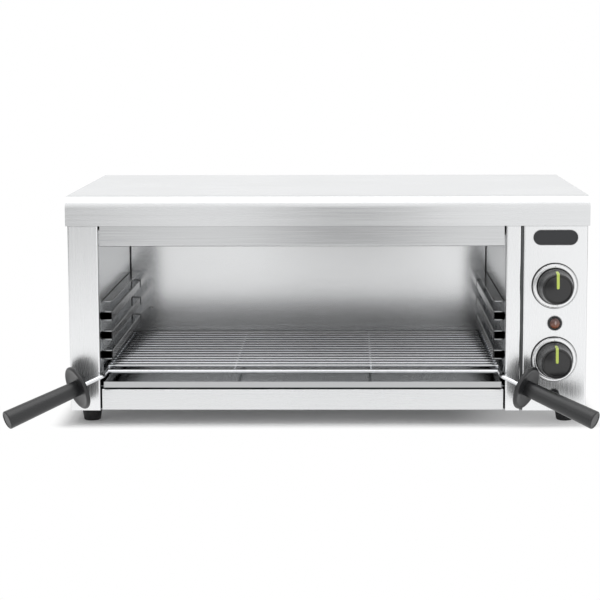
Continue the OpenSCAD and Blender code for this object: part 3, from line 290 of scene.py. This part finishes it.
def dress(material, *names):
    """Gives CAD nodes a material in every slot they have."""
    for name in names:
        for slot in nodes[name].material_slots:
            slot.material = material


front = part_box("control_panel")[0].y
painted_side_shade = ("Y", front + mm(0.2), front + mm(1.4), "#C6C7C8")
cover_steel = sheet_steel("ground_stainless_cover", "#DEDFE0", "#E6E7E8", 0.24, 0, (0, 1, 1), 0.85)
# The sides of the uprights are toned darker than their fronts: painted shade, which shows their
# folds as a fine darker line
post_steel = sheet_steel(
    "ground_stainless_upright", "#F2F3F4", "#F7F8F9", 0.24, 2, (1, 1, 0), 0.2, tinted=painted_side_shade)
flank_steel = sheet_steel("ground_stainless_flank", "#BEBFC0", "#CACBCC", 0.28, 2, (1, 1, 0), 0.5)
back_steel = sheet_steel("ground_stainless_back", "#BEBFC0", "#CACBCC", 0.3, 0, (0, 0, 1), 0.5)
strip_steel = sheet_steel("ground_stainless_strip", "#E4E5E6", "#EBECED", 0.26, 0, (0, 0, 1))
# The header is toned darker than the uprights beside it: painted shade, for the shade under the
# cover's skirt
header_steel = sheet_steel("painted_shade_stainless_header", "#CDCECF", "#D9DADB", 0.22, 0, (0, 0, 1), 0.85)
dress(cover_steel, "top_cover")
dress(post_steel, "left_side_panel", "right_front_post", "control_panel")
dress(flank_steel, "right_side_panel")
dress(back_steel, "rear_panel", "base_plate")
dress(strip_steel, "lower_front_panel")
dress(header_steel, "header_panel")


# Seam: the gap between the right post and the control panel is filled with silicone, pressed in
# and struck off just below their faces. It closes the control compartment against steam and fat.
def mottled(name, grain, dark, pale, detail=3, **noise_sockets):
    """A new material that wanders between two tones, with a grain of so many millimetres. Gives
    the material, its tree, the noise and the colour."""
    material, tree = new_material(name)
    place = add(tree, "TexCoord").outputs["Object"]
    noise = add(tree, "TexNoise", {
        "Vector": place, "Scale": 1 / mm(grain), "Detail": detail, **noise_sockets})
    tone = add(tree, "MixRGB", {
        "Fac": noise.outputs["Fac"], "Color1": linear(dark), "Color2": linear(pale)})
    return material, tree, noise.outputs["Fac"], tone


def skin(shape, rows):
    """Joins rows of points into a closed bar with an end face at each end."""
    for one, two in zip(rows, rows[1:]):
        for i in range(len(one)):
            j = (i + 1) % len(one)
            shape.faces.new((one[i], one[j], two[j], two[i]))
    shape.faces.new(rows[0])
    shape.faces.new(list(reversed(rows[-1])))
    bmesh.ops.recalc_face_normals(shape, faces=shape.faces)


def smooth(mesh, angle=32):
    """Smooth shading with edges kept sharp where faces meet at more than the angle."""
    mesh.polygons.foreach_set("use_smooth", [True] * len(mesh.polygons))
    mesh.set_sharp_from_angle(angle=math.radians(angle))
    return mesh


def set_piece(name, mesh, material, body, at=None, stands_for=()):
    """Puts a new piece in its place and on its body."""
    mesh.materials.append(material)
    made = bpy.data.objects.new(name, mesh)
    scene.collection.objects.link(made)
    if at is not None:
        made.matrix_world = at
    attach(made, body)
    if stands_for:
        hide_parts(*stands_for)


# Dark grey silicone, struck off with a finger: a soft satin line with slow ripples
silicone, tree, ripple, tone = mottled("grey_silicone", 3, "#4E5051", "#5C5E5F")
bump = add(tree, "Bump", {"Height": ripple, "Strength": 0.3, "Distance": mm(0.1)})
shade(tree, {"Base Color": tone, "Roughness": 0.45, "Normal": bump})
gap_left, gap_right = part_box("right_front_post")[1].x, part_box("control_panel")[0].x
gap_low, gap_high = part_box("control_panel")[0].z + mm(1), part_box("control_panel")[1].z - mm(1)
# Share of the gap's width and depth below its face in mm, across the front and back round the rear
seam_section = ((0, 0), (0.25, 0.1), (0.5, 0.15), (0.75, 0.1), (1, 0), (1, 2.5), (0, 2.5))
seam_steps, seam_depth, seam_ripple = 24, mm(0.3), mm(0.08)
seam_shape = bmesh.new()
rows = []
for step in range(seam_steps + 1):
    z = gap_low + (gap_high - gap_low) * step / seam_steps
    face = front + seam_depth + seam_ripple * math.sin(step * 2.1)
    rows.append([
        seam_shape.verts.new((gap_left + (gap_right - gap_left) * t, face + mm(depth), z))
        for t, depth in seam_section])
skin(seam_shape, rows)
seam = smooth(as_mesh(seam_shape, "panel_seam_bead"), angle=180)
set_piece("panel_seam_bead", seam, silicone, "cabinet")


# Inner sheets: the same stainless with its bright mill finish, so that the side walls show in the
# back wall with sharp upright edges. The back wall is toned paler than the side walls: painted
# light. The racks and the tray's floor are toned darker: painted shade.
wall_steel = sheet_steel(
    "mill_stainless_wall", "#F5F6F7", "#FAFBFC", 0.15, 0, (0, 0, 1), 0.7, 4, metal=0.8)
side_steel = sheet_steel("mill_stainless_side", "#C6C7C8", "#D2D3D4", 0.2, 1, (0, 0, 1), 0.5, 4)
lip_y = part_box("crumb_tray")[0].y
# The tray's floor is toned darker than its pale front lip: painted shade
tray_steel = sheet_steel(
    "mill_stainless_tray", "#8E9092", "#D4D6D8", 0.12, 0, (0, 1, 0), 0.5, 4, "#2E2F30",
    ("Y", lip_y + mm(2), lip_y, "#BEBFC0"))
top_steel = sheet_steel(
    "heated_stainless_ceiling", "#A19E9A", "#B8B5B1", 0.3, 0, (0, 1, 0), 0.4, 6, "#2E2B28")
dress(wall_steel, "cavity_back_wall", "cavity_rivets")
dress(side_steel, "cavity_left_wall", "cavity_right_wall")
dress(tray_steel, "cavity_floor", "crumb_tray")
dress(top_steel, "heat_reflector", "element_hangers")
# The racks are toned darker than the walls, and the ledges standing out from them darkest of all:
# painted shade
for side, hand in ((-1, "left"), (1, "right")):
    dress(sheet_steel(
        hand + "_painted_shade_stainless_rack", "#A8AAAC", "#BABCBE", 0.16, 1, (0, 0, 1), 0.3, 4,
        "#6A6B6C", ("X", side * mm(227.6), side * mm(227), "#48494A")), hand + "_rack")


# Grid: drawn steel wire, resistance welded and chrome plated. Where two wires cross, the weld
# leaves a small bead.
def turned_mesh(name, profile, facets=96):
    """A body of revolution about +z from (radius, height) points in millimetres."""
    shape = bmesh.new()
    turns = [2 * math.pi * i / facets for i in range(facets)]
    rings = []
    for radius, height in profile:
        if radius == 0:
            rings.append([shape.verts.new((0, 0, mm(height)))])
        else:
            rings.append([
                shape.verts.new((mm(radius * math.cos(t)), mm(radius * math.sin(t)), mm(height)))
                for t in turns])
    for low, high in zip(rings, rings[1:]):
        for i in range(facets):
            j = (i + 1) % facets
            corners = (
                low[i % len(low)], low[j % len(low)], high[j % len(high)], high[i % len(high)])
            # A point on the axis stands for two corners, and a face between two such is left out
            unique = list(dict.fromkeys(corners))
            if len(unique) > 2:
                shape.faces.new(unique)
    bmesh.ops.recalc_face_normals(shape, faces=shape.faces)
    return smooth(as_mesh(shape, name))


def copies(name, mesh, places):
    """One mesh with a copy of another at each place."""
    shape = bmesh.new()
    for place in places:
        part = mesh.copy()
        part.transform(place)
        shape.from_mesh(part)
        bpy.data.meshes.remove(part)
    return smooth(as_mesh(shape, name))


# Chrome plate on drawn wire: bright, with a faint haze where it has been scrubbed
chrome, tree, haze, tone = mottled("chrome_plate", 5.556, "#DADCDF", "#EDEEF0")
rough = add(tree, "MapRange", {"Value": haze, "To Min": 0.05, "To Max": 0.17})
shade(tree, {"Base Color": tone, "Metallic": 1.0, "Roughness": rough})
dress(chrome, "grill_grid")

front_y = front * 1000
rod_x, cross_x, rod_top = 231.95, 81, 62.85
wire_count, wire_front, wire_step = 15, front_y + 36, 16.8
on_rod, on_cross = rod_top - 0.35, rod_top - 0.25
weld_profile = [(0, 0.75), (0.9, 0.62), (1.7, 0.25), (2.1, -0.25), (1.6, -0.7), (0, -0.9)]
weld = turned_mesh("weld_bead", weld_profile, 12)
weld_places = [
    Matrix.Translation((mm(x), mm(wire_front + i * wire_step), mm(z)))
    for i in range(wire_count)
    for x, z in ((-rod_x, on_rod), (rod_x, on_rod), (-cross_x, on_cross), (cross_x, on_cross))]
weld_beads = copies("grid_weld_beads", weld, weld_places)
set_piece("grid_weld_beads", weld_beads, chrome, "grid")


# Handles: black phenolic grips and hand guards, compression moulded and pressed on the rods. The
# mould leaves a fine line along each side of a grip and a shallow recess in its end.
def arc(centre_r, centre_h, radius, start, end, steps=8):
    """Points of a rounded edge in a turned profile, with angles in degrees."""
    angles = [math.radians(start + (end - start) * i / steps) for i in range(steps + 1)]
    return [(centre_r + radius * math.cos(a), centre_h + radius * math.sin(a)) for a in angles]


# Phenolic from a polished mould that has worn: a low, slightly uneven sheen. The pits of the
# mould are 0.2 mm and drawn at 0.9 mm.
phenolic, tree, cloud, tone = mottled("moulded_phenolic", 25, "#151618", "#1F2022", 2)
place = add(tree, "TexCoord").outputs["Object"]
grit = add(tree, "TexNoise", {"Vector": place, "Scale": 1 / mm(0.9), "Detail": 3})
rough = add(tree, "MapRange", {"Value": cloud, "To Min": 0.3, "To Max": 0.42})
bump = add(tree, "Bump", {"Height": grit.outputs["Fac"], "Strength": 0.12, "Distance": mm(0.05)})
shade(tree, {"Base Color": tone, "Roughness": rough, "Normal": bump, "IOR": 1.6})

grip_profile = (
    [(2.4, 36), (9.05, 36), (10.7, 126.0)]
    + arc(9.2, 126.0, 1.5, 0, 90)
    + [(8.2, 127.5), (7.8, 127.0), (0, 127.0)])
guard_profile = (
    [(2.4, -6.5)] + arc(5.2, -5.7, 0.8, -90, 0, 4) + arc(7.2, -3.7, 1.2, 180, 90, 4)
    + [(14.0, -2.5)] + arc(23.5, 0, 2.5, -90, 90, 16)
    + [(21.6, 2.3), (19.5, 1.5), (13.0, 1.05), (2.4, 1.0)])
# Half the width of the mould line in degrees, how far it lifts the skin, and the radius inside
# which the end is left flat
mould_line_degrees, mould_line_lift, end_face_r = 1.6, 1.014, mm(8.5)
bend_y, bend_z, guard_on_rod = front_y - 12, 60.6, 35
for side, hand in ((-1, "left"), (1, "right")):
    # The rods run outwards, forwards and down from where they bend in front of the grid
    way = Vector((side * 0.78818, -0.53970, -0.29571)).normalized()
    bend = Matrix.Translation((mm(side * rod_x), mm(bend_y), mm(bend_z)))
    along_rod = bend @ way.to_track_quat("Z", "Y").to_matrix().to_4x4()
    grip = turned_mesh(hand + "_moulded_grip", grip_profile, 120)
    for corner in grip.vertices:
        angle = abs(math.degrees(math.atan2(corner.co.y, corner.co.x)))
        if abs(angle - 90) < mould_line_degrees and corner.co.xy.length > end_face_r:
            corner.co.xy *= mould_line_lift
    grip.transform(along_rod)
    set_piece(
        hand + "_moulded_grip", grip, phenolic, "grid", None, [hand + "_grip"])
    guard = turned_mesh(hand + "_moulded_guard", guard_profile, 120)
    guard.transform(along_rod @ Matrix.Translation((0, 0, mm(guard_on_rod))))
    set_piece(
        hand + "_moulded_guard", guard, phenolic, "grid", None,
        [hand + "_hand_guard"])


# Controls: ABS knobs with a lime insert over satin aluminium dials, each on a thin black ring that
# draws a painted shadow round it. The knobs are hollow mouldings: a slim cone, a rounded rim, a
# narrow ring groove and a low crown.

# ABS from a spark-eroded mould: nearly black, with a soft wide highlight. The pits are 0.1 mm and
# drawn at 0.6 mm.
knob_abs, tree, spark, tone = mottled("moulded_abs", 0.6, "#171718", "#1F1F20", 2)
bump = add(tree, "Bump", {"Height": spark, "Strength": 0.15, "Distance": mm(0.03)})
# In the ring groove and other inside corners the colour turns near black: painted shade
shade(tree, {
    "Base Color": painted_crevice_shade(tree, tone, 1.5, "#040404"), "Roughness": 0.24,
    "Specular IOR Level": 0.8, "Normal": bump, "IOR": 1.46})

# The insert is moulded first, in bright dyed ABS, and faint flow marks stay in its colour
lime_abs, tree, _, tone = mottled("lime_abs_insert", 4, "#CDE25E", "#DDEE80", 2)
shade(tree, {"Base Color": tone, "Roughness": 0.35, "IOR": 1.53})

# Aluminium turned on a lathe and clear lacquered: a pale satin ring. The tool marks are 0.1 mm
# and drawn as a grain of 0.8 mm.
dial_metal, tree, grain, tone = mottled("turned_aluminium", 0.8, "#EDEEEF", "#F7F7F8")
rough = add(tree, "MapRange", {"Value": grain, "To Min": 0.2, "To Max": 0.28})
# Near the knob and the black ring the dial's colour turns grey: painted shade
shade(tree, {
    "Base Color": painted_crevice_shade(tree, tone, 5, "#6E6F70"), "Metallic": 1.0, "Roughness": rough})

# Screen printed ink, a little uneven where the mesh left it thin
print_grey, tree, _, tone = mottled("screen_print_grey", 0.4, "#77797B", "#8F9193", 2)
shade(tree, {"Base Color": tone, "Roughness": 0.6})

# A dull black ring under each dial: a painted shadow line round the dial
shadow_ring_black, tree, _, tone = mottled("painted_shadow_ring", 1.1, "#1D1D1E", "#29292A")
shade(tree, {"Base Color": tone, "Roughness": 0.5})

cone_r, cone_h, rim_r, rim_h, rim_round = 20.2, 3.3, 17.9, 23.2, 1.8
crown_r, crown_h, crown = 14.8, 25.92, 1.9
knob_profile = (
    [(18.0, 0), (20.3, 0), (20.5, 0.3), (20.5, 2.7), (cone_r, cone_h), (rim_r, rim_h)]
    + arc(rim_r - rim_round, rim_h, rim_round, 10, 90)
    + [(16.1, rim_h + rim_round), (16.0, 22.0), (14.9, 22.0), (crown_r, 23.7)]
    + [(r, crown_h - crown * (r / crown_r) ** 2) for r in (crown_r, 13.5, 11, 8, 5, 2.5, 0)])
dial_profile = (
    [(11, 0), (11, 1.1), (20.6, 1.25), (21.2, 1.5)]
    + [(r, 1.75 - 0.07 * (r - 22.2) ** 2) for r in (21.8, 22.6, 23.4, 24.2, 25.0)]
    + [(25.3, 0.9), (25.6, 1.3), (25.9, 1.3), (26.1, 1.1), (26.1, 0)])
shadow_ring_profile = [(24, 0), (24, 0.5), (26.8, 0.5), (27.1, 0.35), (27.1, 0)]


def pointer_mesh(name):
    """The insert, swept from the cone over the rim to the middle: a bar with rounded ends."""
    half_width, proud, groove_bridge = 1.65, 0.3, 24.7
    slope = (cone_r - rim_r) / (rim_h - cone_h)
    path = [(cone_r - slope * (h - cone_h), h) for h in (14.2, 17, 20, 22.5)]
    path += arc(rim_r - rim_round, rim_h, rim_round, 5, 85, 5)
    path += [
        (r, max(groove_bridge, crown_h - crown * (r / crown_r) ** 2))
        for r in (15, 12, 9, 6, 3.5, 2)]
    spine = [Vector((0, r, h)) for r, h in path]
    last = len(spine) - 1
    sideways = Vector((1, 0, 0))
    shape = bmesh.new()
    rows = []
    # Each end is closed by three more rows on a half circle
    for i, point in enumerate(spine):
        before, after = spine[max(i - 1, 0)], spine[min(i + 1, last)]
        along = (after - before).normalized()
        out = along.cross(sideways).normalized()
        out = -out if out.dot(Vector((0, 1, 1))) < 0 else out
        turns = (80, 50, 25, 0) if i == 0 else (0, 25, 50, 80) if i == last else (0,)
        sign = -1 if i == 0 else 1
        for turn in turns:
            wide = half_width * math.cos(math.radians(turn))
            centre = point + along * sign * half_width * math.sin(math.radians(turn))
            top = proud * (0.3 if turn == 80 else 0.75 if turn == 50 else 1)
            section = [
                (-wide, -0.8), (-wide, top - 0.3), (-0.88 * wide, top - 0.08), (-0.55 * wide, top),
                (0.55 * wide, top), (0.88 * wide, top - 0.08), (wide, top - 0.3), (wide, -0.8)]
            rows.append([
                shape.verts.new((centre + sideways * x + out * h) / 1000) for x, h in section])
    skin(shape, rows)
    return smooth(as_mesh(shape, name), angle=40)


# Turns what a profile draws upwards to the front of the appliance
turn_out = Matrix.Rotation(math.radians(90), 4, "X")
# The black ring sits a little high and to the left, so the painted shadow is heavier there
shadow_ring_off = Matrix.Translation((mm(-0.6), 0, mm(0.5)))
# The three marks, in degrees round the dial, anticlockwise from the top
mark_degrees, mark_r, mark_height = (0, 48, 186), mm(22.9), mm(1.73)
mark_size = Matrix.Diagonal((mm(0.55), mm(1.5), mm(0.05), 1))
for level in ("upper", "lower"):
    low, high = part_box(level + "_knob")
    centre = (low + high) / 2
    at_knob = Matrix.Translation((centre.x, high.y, centre.z)) @ turn_out
    at_dial = Matrix.Translation((centre.x, front, centre.z)) @ turn_out
    set_piece(
        level + "_moulded_knob", turned_mesh(level + "_moulded_knob", knob_profile, 128), knob_abs,
        level + "_control", at_knob, [level + "_knob"])
    set_piece(
        level + "_lime_pointer", pointer_mesh(level + "_lime_pointer"), lime_abs,
        level + "_control", at_knob, [level + "_pointer"])
    set_piece(
        level + "_turned_dial", turned_mesh(level + "_turned_dial", dial_profile, 160), dial_metal,
        "cabinet", at_dial, [level + "_bezel"])
    set_piece(
        level + "_dial_shadow_ring", turned_mesh(level + "_dial_shadow_ring", shadow_ring_profile, 128),
        shadow_ring_black, "cabinet", shadow_ring_off @ at_dial)
    ticks = bmesh.new()
    for degrees in mark_degrees:
        turn = Matrix.Rotation(math.radians(degrees), 4, "Z")
        tick = turn @ Matrix.Translation((0, mark_r, mark_height)) @ mark_size
        bmesh.ops.create_cube(ticks, size=1, matrix=tick)
    marks = as_mesh(ticks, level + "_dial_marks")
    set_piece(level + "_dial_marks", marks, print_grey, "cabinet", at_dial)


# Pilot light: a neon lamp behind a cut amber lens in a glossy black bezel, and below the knobs the
# reset button of the thermal cut-out, of the same moulding compound.

# ABS from a polished mould: near black with a small sharp highlight
gloss_abs, tree, swirl, tone = mottled("polished_black_abs", 2, "#111112", "#1B1B1C")
rough = add(tree, "MapRange", {"Value": swirl, "To Min": 0.1, "To Max": 0.2})
shade(tree, {"Base Color": tone, "Roughness": rough, "IOR": 1.53})
dress(gloss_abs, "reset_button", "pilot_bezel")

# Dyed polycarbonate, unlit: brown-red at the foot and greyer above, a painted reflection of the
# white room
lens_low, lens_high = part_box("pilot_lens")
lens_middle = (lens_low + lens_high) / 2
lens_r, lens_h = (lens_high.x - lens_low.x) / 2 * 1000, (lens_high.y - lens_low.y) * 1000
lens_pc, tree, glow, warm = mottled("amber_polycarbonate", 3.846, "#8A3F22", "#C07850", 2)
room_reflection_tone = add(tree, "MixRGB", {"Fac": glow, "Color1": linear("#5B3F3C"), "Color2": linear("#A98680")})
place = add(tree, "TexCoord").outputs["Object"]
height = add(tree, "SeparateXYZ", {"Vector": place}).outputs["Y"]
tone = add(tree, "MixRGB", {
    "Fac": soft_zone(tree, (height, mm(-lens_r), mm(lens_r * 0.6))), "Color1": warm,
    "Color2": room_reflection_tone})
# A pale upright spot on the lens: a painted highlight
aside = add(tree, "VectorMath", {0: place, 1: (mm(0.6), mm(0.7), 0)}, operation="SUBTRACT")
squeezed = add(tree, "VectorMath", {
    0: aside, 1: (1 / mm(1.3), 1 / mm(2.8), 0)}, operation="MULTIPLY")
from_highlight = add(tree, "VectorMath", {0: squeezed}, operation="LENGTH").outputs["Value"]
painted_highlight_spot = soft_zone(tree, (from_highlight, 1.2, 0.3), strength=0.9)
tone = add(tree, "MixRGB", {"Fac": painted_highlight_spot, "Color1": tone, "Color2": linear("#E2CBC4")})
shade(tree, {"Base Color": tone, "Roughness": 0.1, "IOR": 1.58, "Transmission Weight": 0.2})
lens_profile = [
    (0, 0), (lens_r - 0.05, 0), (lens_r - 0.05, lens_h - 1.3), (lens_r * 0.72, lens_h - 0.45),
    (lens_r * 0.34, lens_h - 0.08), (0, lens_h - 0.02)]
cut_lens = turned_mesh("pilot_cut_lens", lens_profile, 12)
cut_lens.polygons.foreach_set("use_smooth", [False] * len(cut_lens.polygons))
set_piece(
    "pilot_cut_lens", cut_lens, lens_pc, "cabinet",
    Matrix.Translation((lens_middle.x, lens_high.y, lens_middle.z)) @ turn_out, ["pilot_lens"])


# Badge: a bare die-cast plate with a raised rim, painted satin dark grey. The paint's fine orange
# peel blurs what it reflects.
badge_paint, tree, peel, tone = mottled("satin_badge_paint", 1.2, "#2C2D30", "#36373A", 2)
bump = add(tree, "Bump", {"Height": peel, "Strength": 0.1, "Distance": mm(0.03)})
shade(tree, {"Base Color": tone, "Roughness": 0.35, "Normal": bump, "IOR": 1.5})
dress(badge_paint, "badge_plate")


# Heating elements: mineral-insulated tubes whose nickel alloy sheath has turned dark in use, in
# unglazed steatite bushes.

# Scale on the sheath: brown-grey, matt, and paler where it has flaked
sheath, tree, flakes, tone = mottled(
    "oxidised_sheath", 9, "#2E2B29", "#6B645D", 6, Roughness=0.7)
rough = add(tree, "MapRange", {"Value": flakes, "To Min": 0.45, "To Max": 0.75})
bump = add(tree, "Bump", {"Height": flakes, "Strength": 0.2, "Distance": mm(0.05)})
shade(tree, {"Base Color": tone, "Metallic": 0.7, "Roughness": rough, "Normal": bump})
dress(sheath, "heating_element_front", "heating_element_rear")

# Steatite, pressed and fired without a glaze: off-white and chalky
steatite, tree, grains, tone = mottled("unglazed_steatite", 0.8, "#DDD6C6", "#F0EBDF", 4)
bump = add(tree, "Bump", {"Height": grains, "Strength": 0.25, "Distance": mm(0.05)})
shade(tree, {"Base Color": tone, "Roughness": 0.62, "Normal": bump})
dress(steatite, "element_bushes", "terminal_block")


# Electrical parts in the control compartment: glass-filled polyamide mouldings, a natural nylon
# lamp body, brass shafts, a copper capillary and a braided loom.

# Glass fibres at the surface give the black polyamide a dry, greyish skin
polyamide, tree, fibres, tone = mottled(
    "glass_filled_polyamide", 1.0, "#1D1D1F", "#2B2B2E", 5, Roughness=0.7)
bump = add(tree, "Bump", {"Height": fibres, "Strength": 0.2, "Distance": mm(0.04)})
shade(tree, {"Base Color": tone, "Roughness": 0.55, "Normal": bump})
dress(polyamide, "upper_regulator", "lower_regulator", "thermal_cutout", "cable_gland")

# Undyed nylon is milky, because light goes a little way into it
nylon, tree, _, tone = mottled("natural_nylon", 3.333, "#DAD5C6", "#E7E3D6", 2)
shade(tree, {"Base Color": tone, "Roughness": 0.5, "Subsurface Weight": 0.1})
dress(nylon, "pilot_lamp_body")

# Brass turned from bar: rings round the shaft, 0.1 mm apart and drawn at 0.5 mm
brass, tree = new_material("turned_brass")
place = add(tree, "TexCoord").outputs["Object"]
rings = add(tree, "Mapping", {"Vector": place, "Scale": (1 / mm(50), 1 / mm(0.5), 1 / mm(50))})
tool = add(tree, "TexNoise", {"Vector": rings, "Scale": 1, "Detail": 2})
tone = add(tree, "MixRGB", {
    "Fac": tool.outputs["Fac"], "Color1": linear("#C9A95A"), "Color2": linear("#DDC27C")})
rough = add(tree, "MapRange", {"Value": tool.outputs["Fac"], "To Min": 0.22, "To Max": 0.36})
shade(tree, {"Base Color": tone, "Metallic": 1.0, "Roughness": rough})
dress(brass, "upper_shaft", "lower_shaft")

# Drawn copper with brown tarnish in slow patches
copper, tree, tarnish, tone = mottled("drawn_copper", 16.667, "#9A5A3C", "#D08C66", 4)
rough = add(tree, "MapRange", {"Value": tarnish, "To Min": 0.25, "To Max": 0.45})
shade(tree, {"Base Color": tone, "Metallic": 1.0, "Roughness": rough})
dress(copper, "cutout_sensor")

# Glass yarn braided over the wires: slanting threads, 1 mm apart and drawn at 3.491 mm. The bands
# of a wave texture lie a tenth of pi over its scale apart.
braid, tree = new_material("braided_glass_sleeve")
place = add(tree, "TexCoord").outputs["Object"]
slanted = add(tree, "Mapping", {"Vector": place, "Rotation": (0.6, 0.6, 0.8)})
threads = add(tree, "TexWave", {
    "Vector": slanted, "Scale": math.pi / 10 / mm(3.491), "Distortion": 0.5})
tone = add(tree, "MixRGB", {
    "Fac": threads.outputs["Fac"], "Color1": linear("#151515"), "Color2": linear("#3A3A3A")})
bump = add(tree, "Bump", {"Height": threads.outputs["Fac"], "Strength": 0.4, "Distance": mm(0.2)})
shade(tree, {"Base Color": tone, "Roughness": 0.8, "Normal": bump})
dress(braid, "wiring_loom")


# Feet and screws: moulded EPDM feet, each on a screw of its own, and zinc plated pan head screws
# with a cross recess, which hold the base plate, the rear panel and the top cover.

# EPDM rubber: dull black with a grey bloom
foot_rubber, tree, bloom, tone = mottled("moulded_rubber", 8.333, "#161617", "#242426", 4)
rough = add(tree, "MapRange", {"Value": bloom, "To Min": 0.6, "To Max": 0.8})
bump = add(tree, "Bump", {"Height": bloom, "Strength": 0.15, "Distance": mm(0.1)})
shade(tree, {"Base Color": tone, "Roughness": rough, "Normal": bump})
dress(foot_rubber, "rubber_feet")

# Zinc plate, passivated clear: pale and satin, with a faint spangle
zinc, tree, spangle, tone = mottled("zinc_plate", 1.5, "#E2E3E4", "#F4F5F6")
rough = add(tree, "MapRange", {"Value": spangle, "To Min": 0.25, "To Max": 0.4})
shade(tree, {"Base Color": tone, "Metallic": 1.0, "Roughness": rough})

screw_profile = (
    [(0, 6.0), (1.45, 6.0), (1.75, 5.6), (1.75, 0.1), (3.2, 0.0), (3.3, -0.25)]
    + [(3.2, -0.9), (2.9, -1.5), (2.4, -1.95), (1.6, -2.28), (0.8, -2.38), (0, -2.4)])
plain_screw = turned_mesh("plain_screw", screw_profile, 48)
recess_arm = (
    Matrix.Translation((0, 0, mm(-2.1))) @ Matrix.Diagonal((mm(3.6), mm(0.75), mm(1.9), 1)))
recess = bmesh.new()
for degrees in (0, 90):
    arm = Matrix.Rotation(math.radians(degrees), 4, "Z") @ recess_arm
    bmesh.ops.create_cube(recess, size=1, matrix=arm)
driver = bpy.data.objects.new("cross_recess", as_mesh(recess, "cross_recess"))
blank = bpy.data.objects.new("plain_screw", plain_screw)
for made in (driver, blank):
    scene.collection.objects.link(made)
cut = blank.modifiers.new("cross", "BOOLEAN")
cut.object = driver
cut.use_self = True
bpy.context.view_layer.update()
cut_blank = blank.evaluated_get(bpy.context.evaluated_depsgraph_get())
pan_head = bpy.data.meshes.new_from_object(cut_blank)
for made in (driver, blank):
    bpy.data.objects.remove(made)

base_z, rear_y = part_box("base_plate")[0].z * 1000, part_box("rear_panel")[1].y * 1000
base_screw_y, cover_screw_z = front_y + 8, 247.167
screw_spots = {
    "base_screws": [
        Matrix.Translation((mm(x), mm(base_screw_y), mm(base_z)))
        for x in (-266.75, -199.75, -0.75, 198.25)],
    "rear_panel_screws": [
        Matrix.Translation((mm(x), mm(rear_y), mm(base_z + h))) @ turn_out
        for x in (-264.75, 324.25) for h in (30, 117.5, 205)],
    "cover_screws": [
        Matrix.Translation((mm(x), mm(rear_y + 1), mm(cover_screw_z))) @ turn_out
        for x in (-121.75, 181.25)]}
for node, spots in screw_spots.items():
    set_piece(
        node + "_pan_head", copies(node + "_pan_head", pan_head, spots), zinc, "cabinet",
        None, [node])
dress(zinc, "foot_screws")
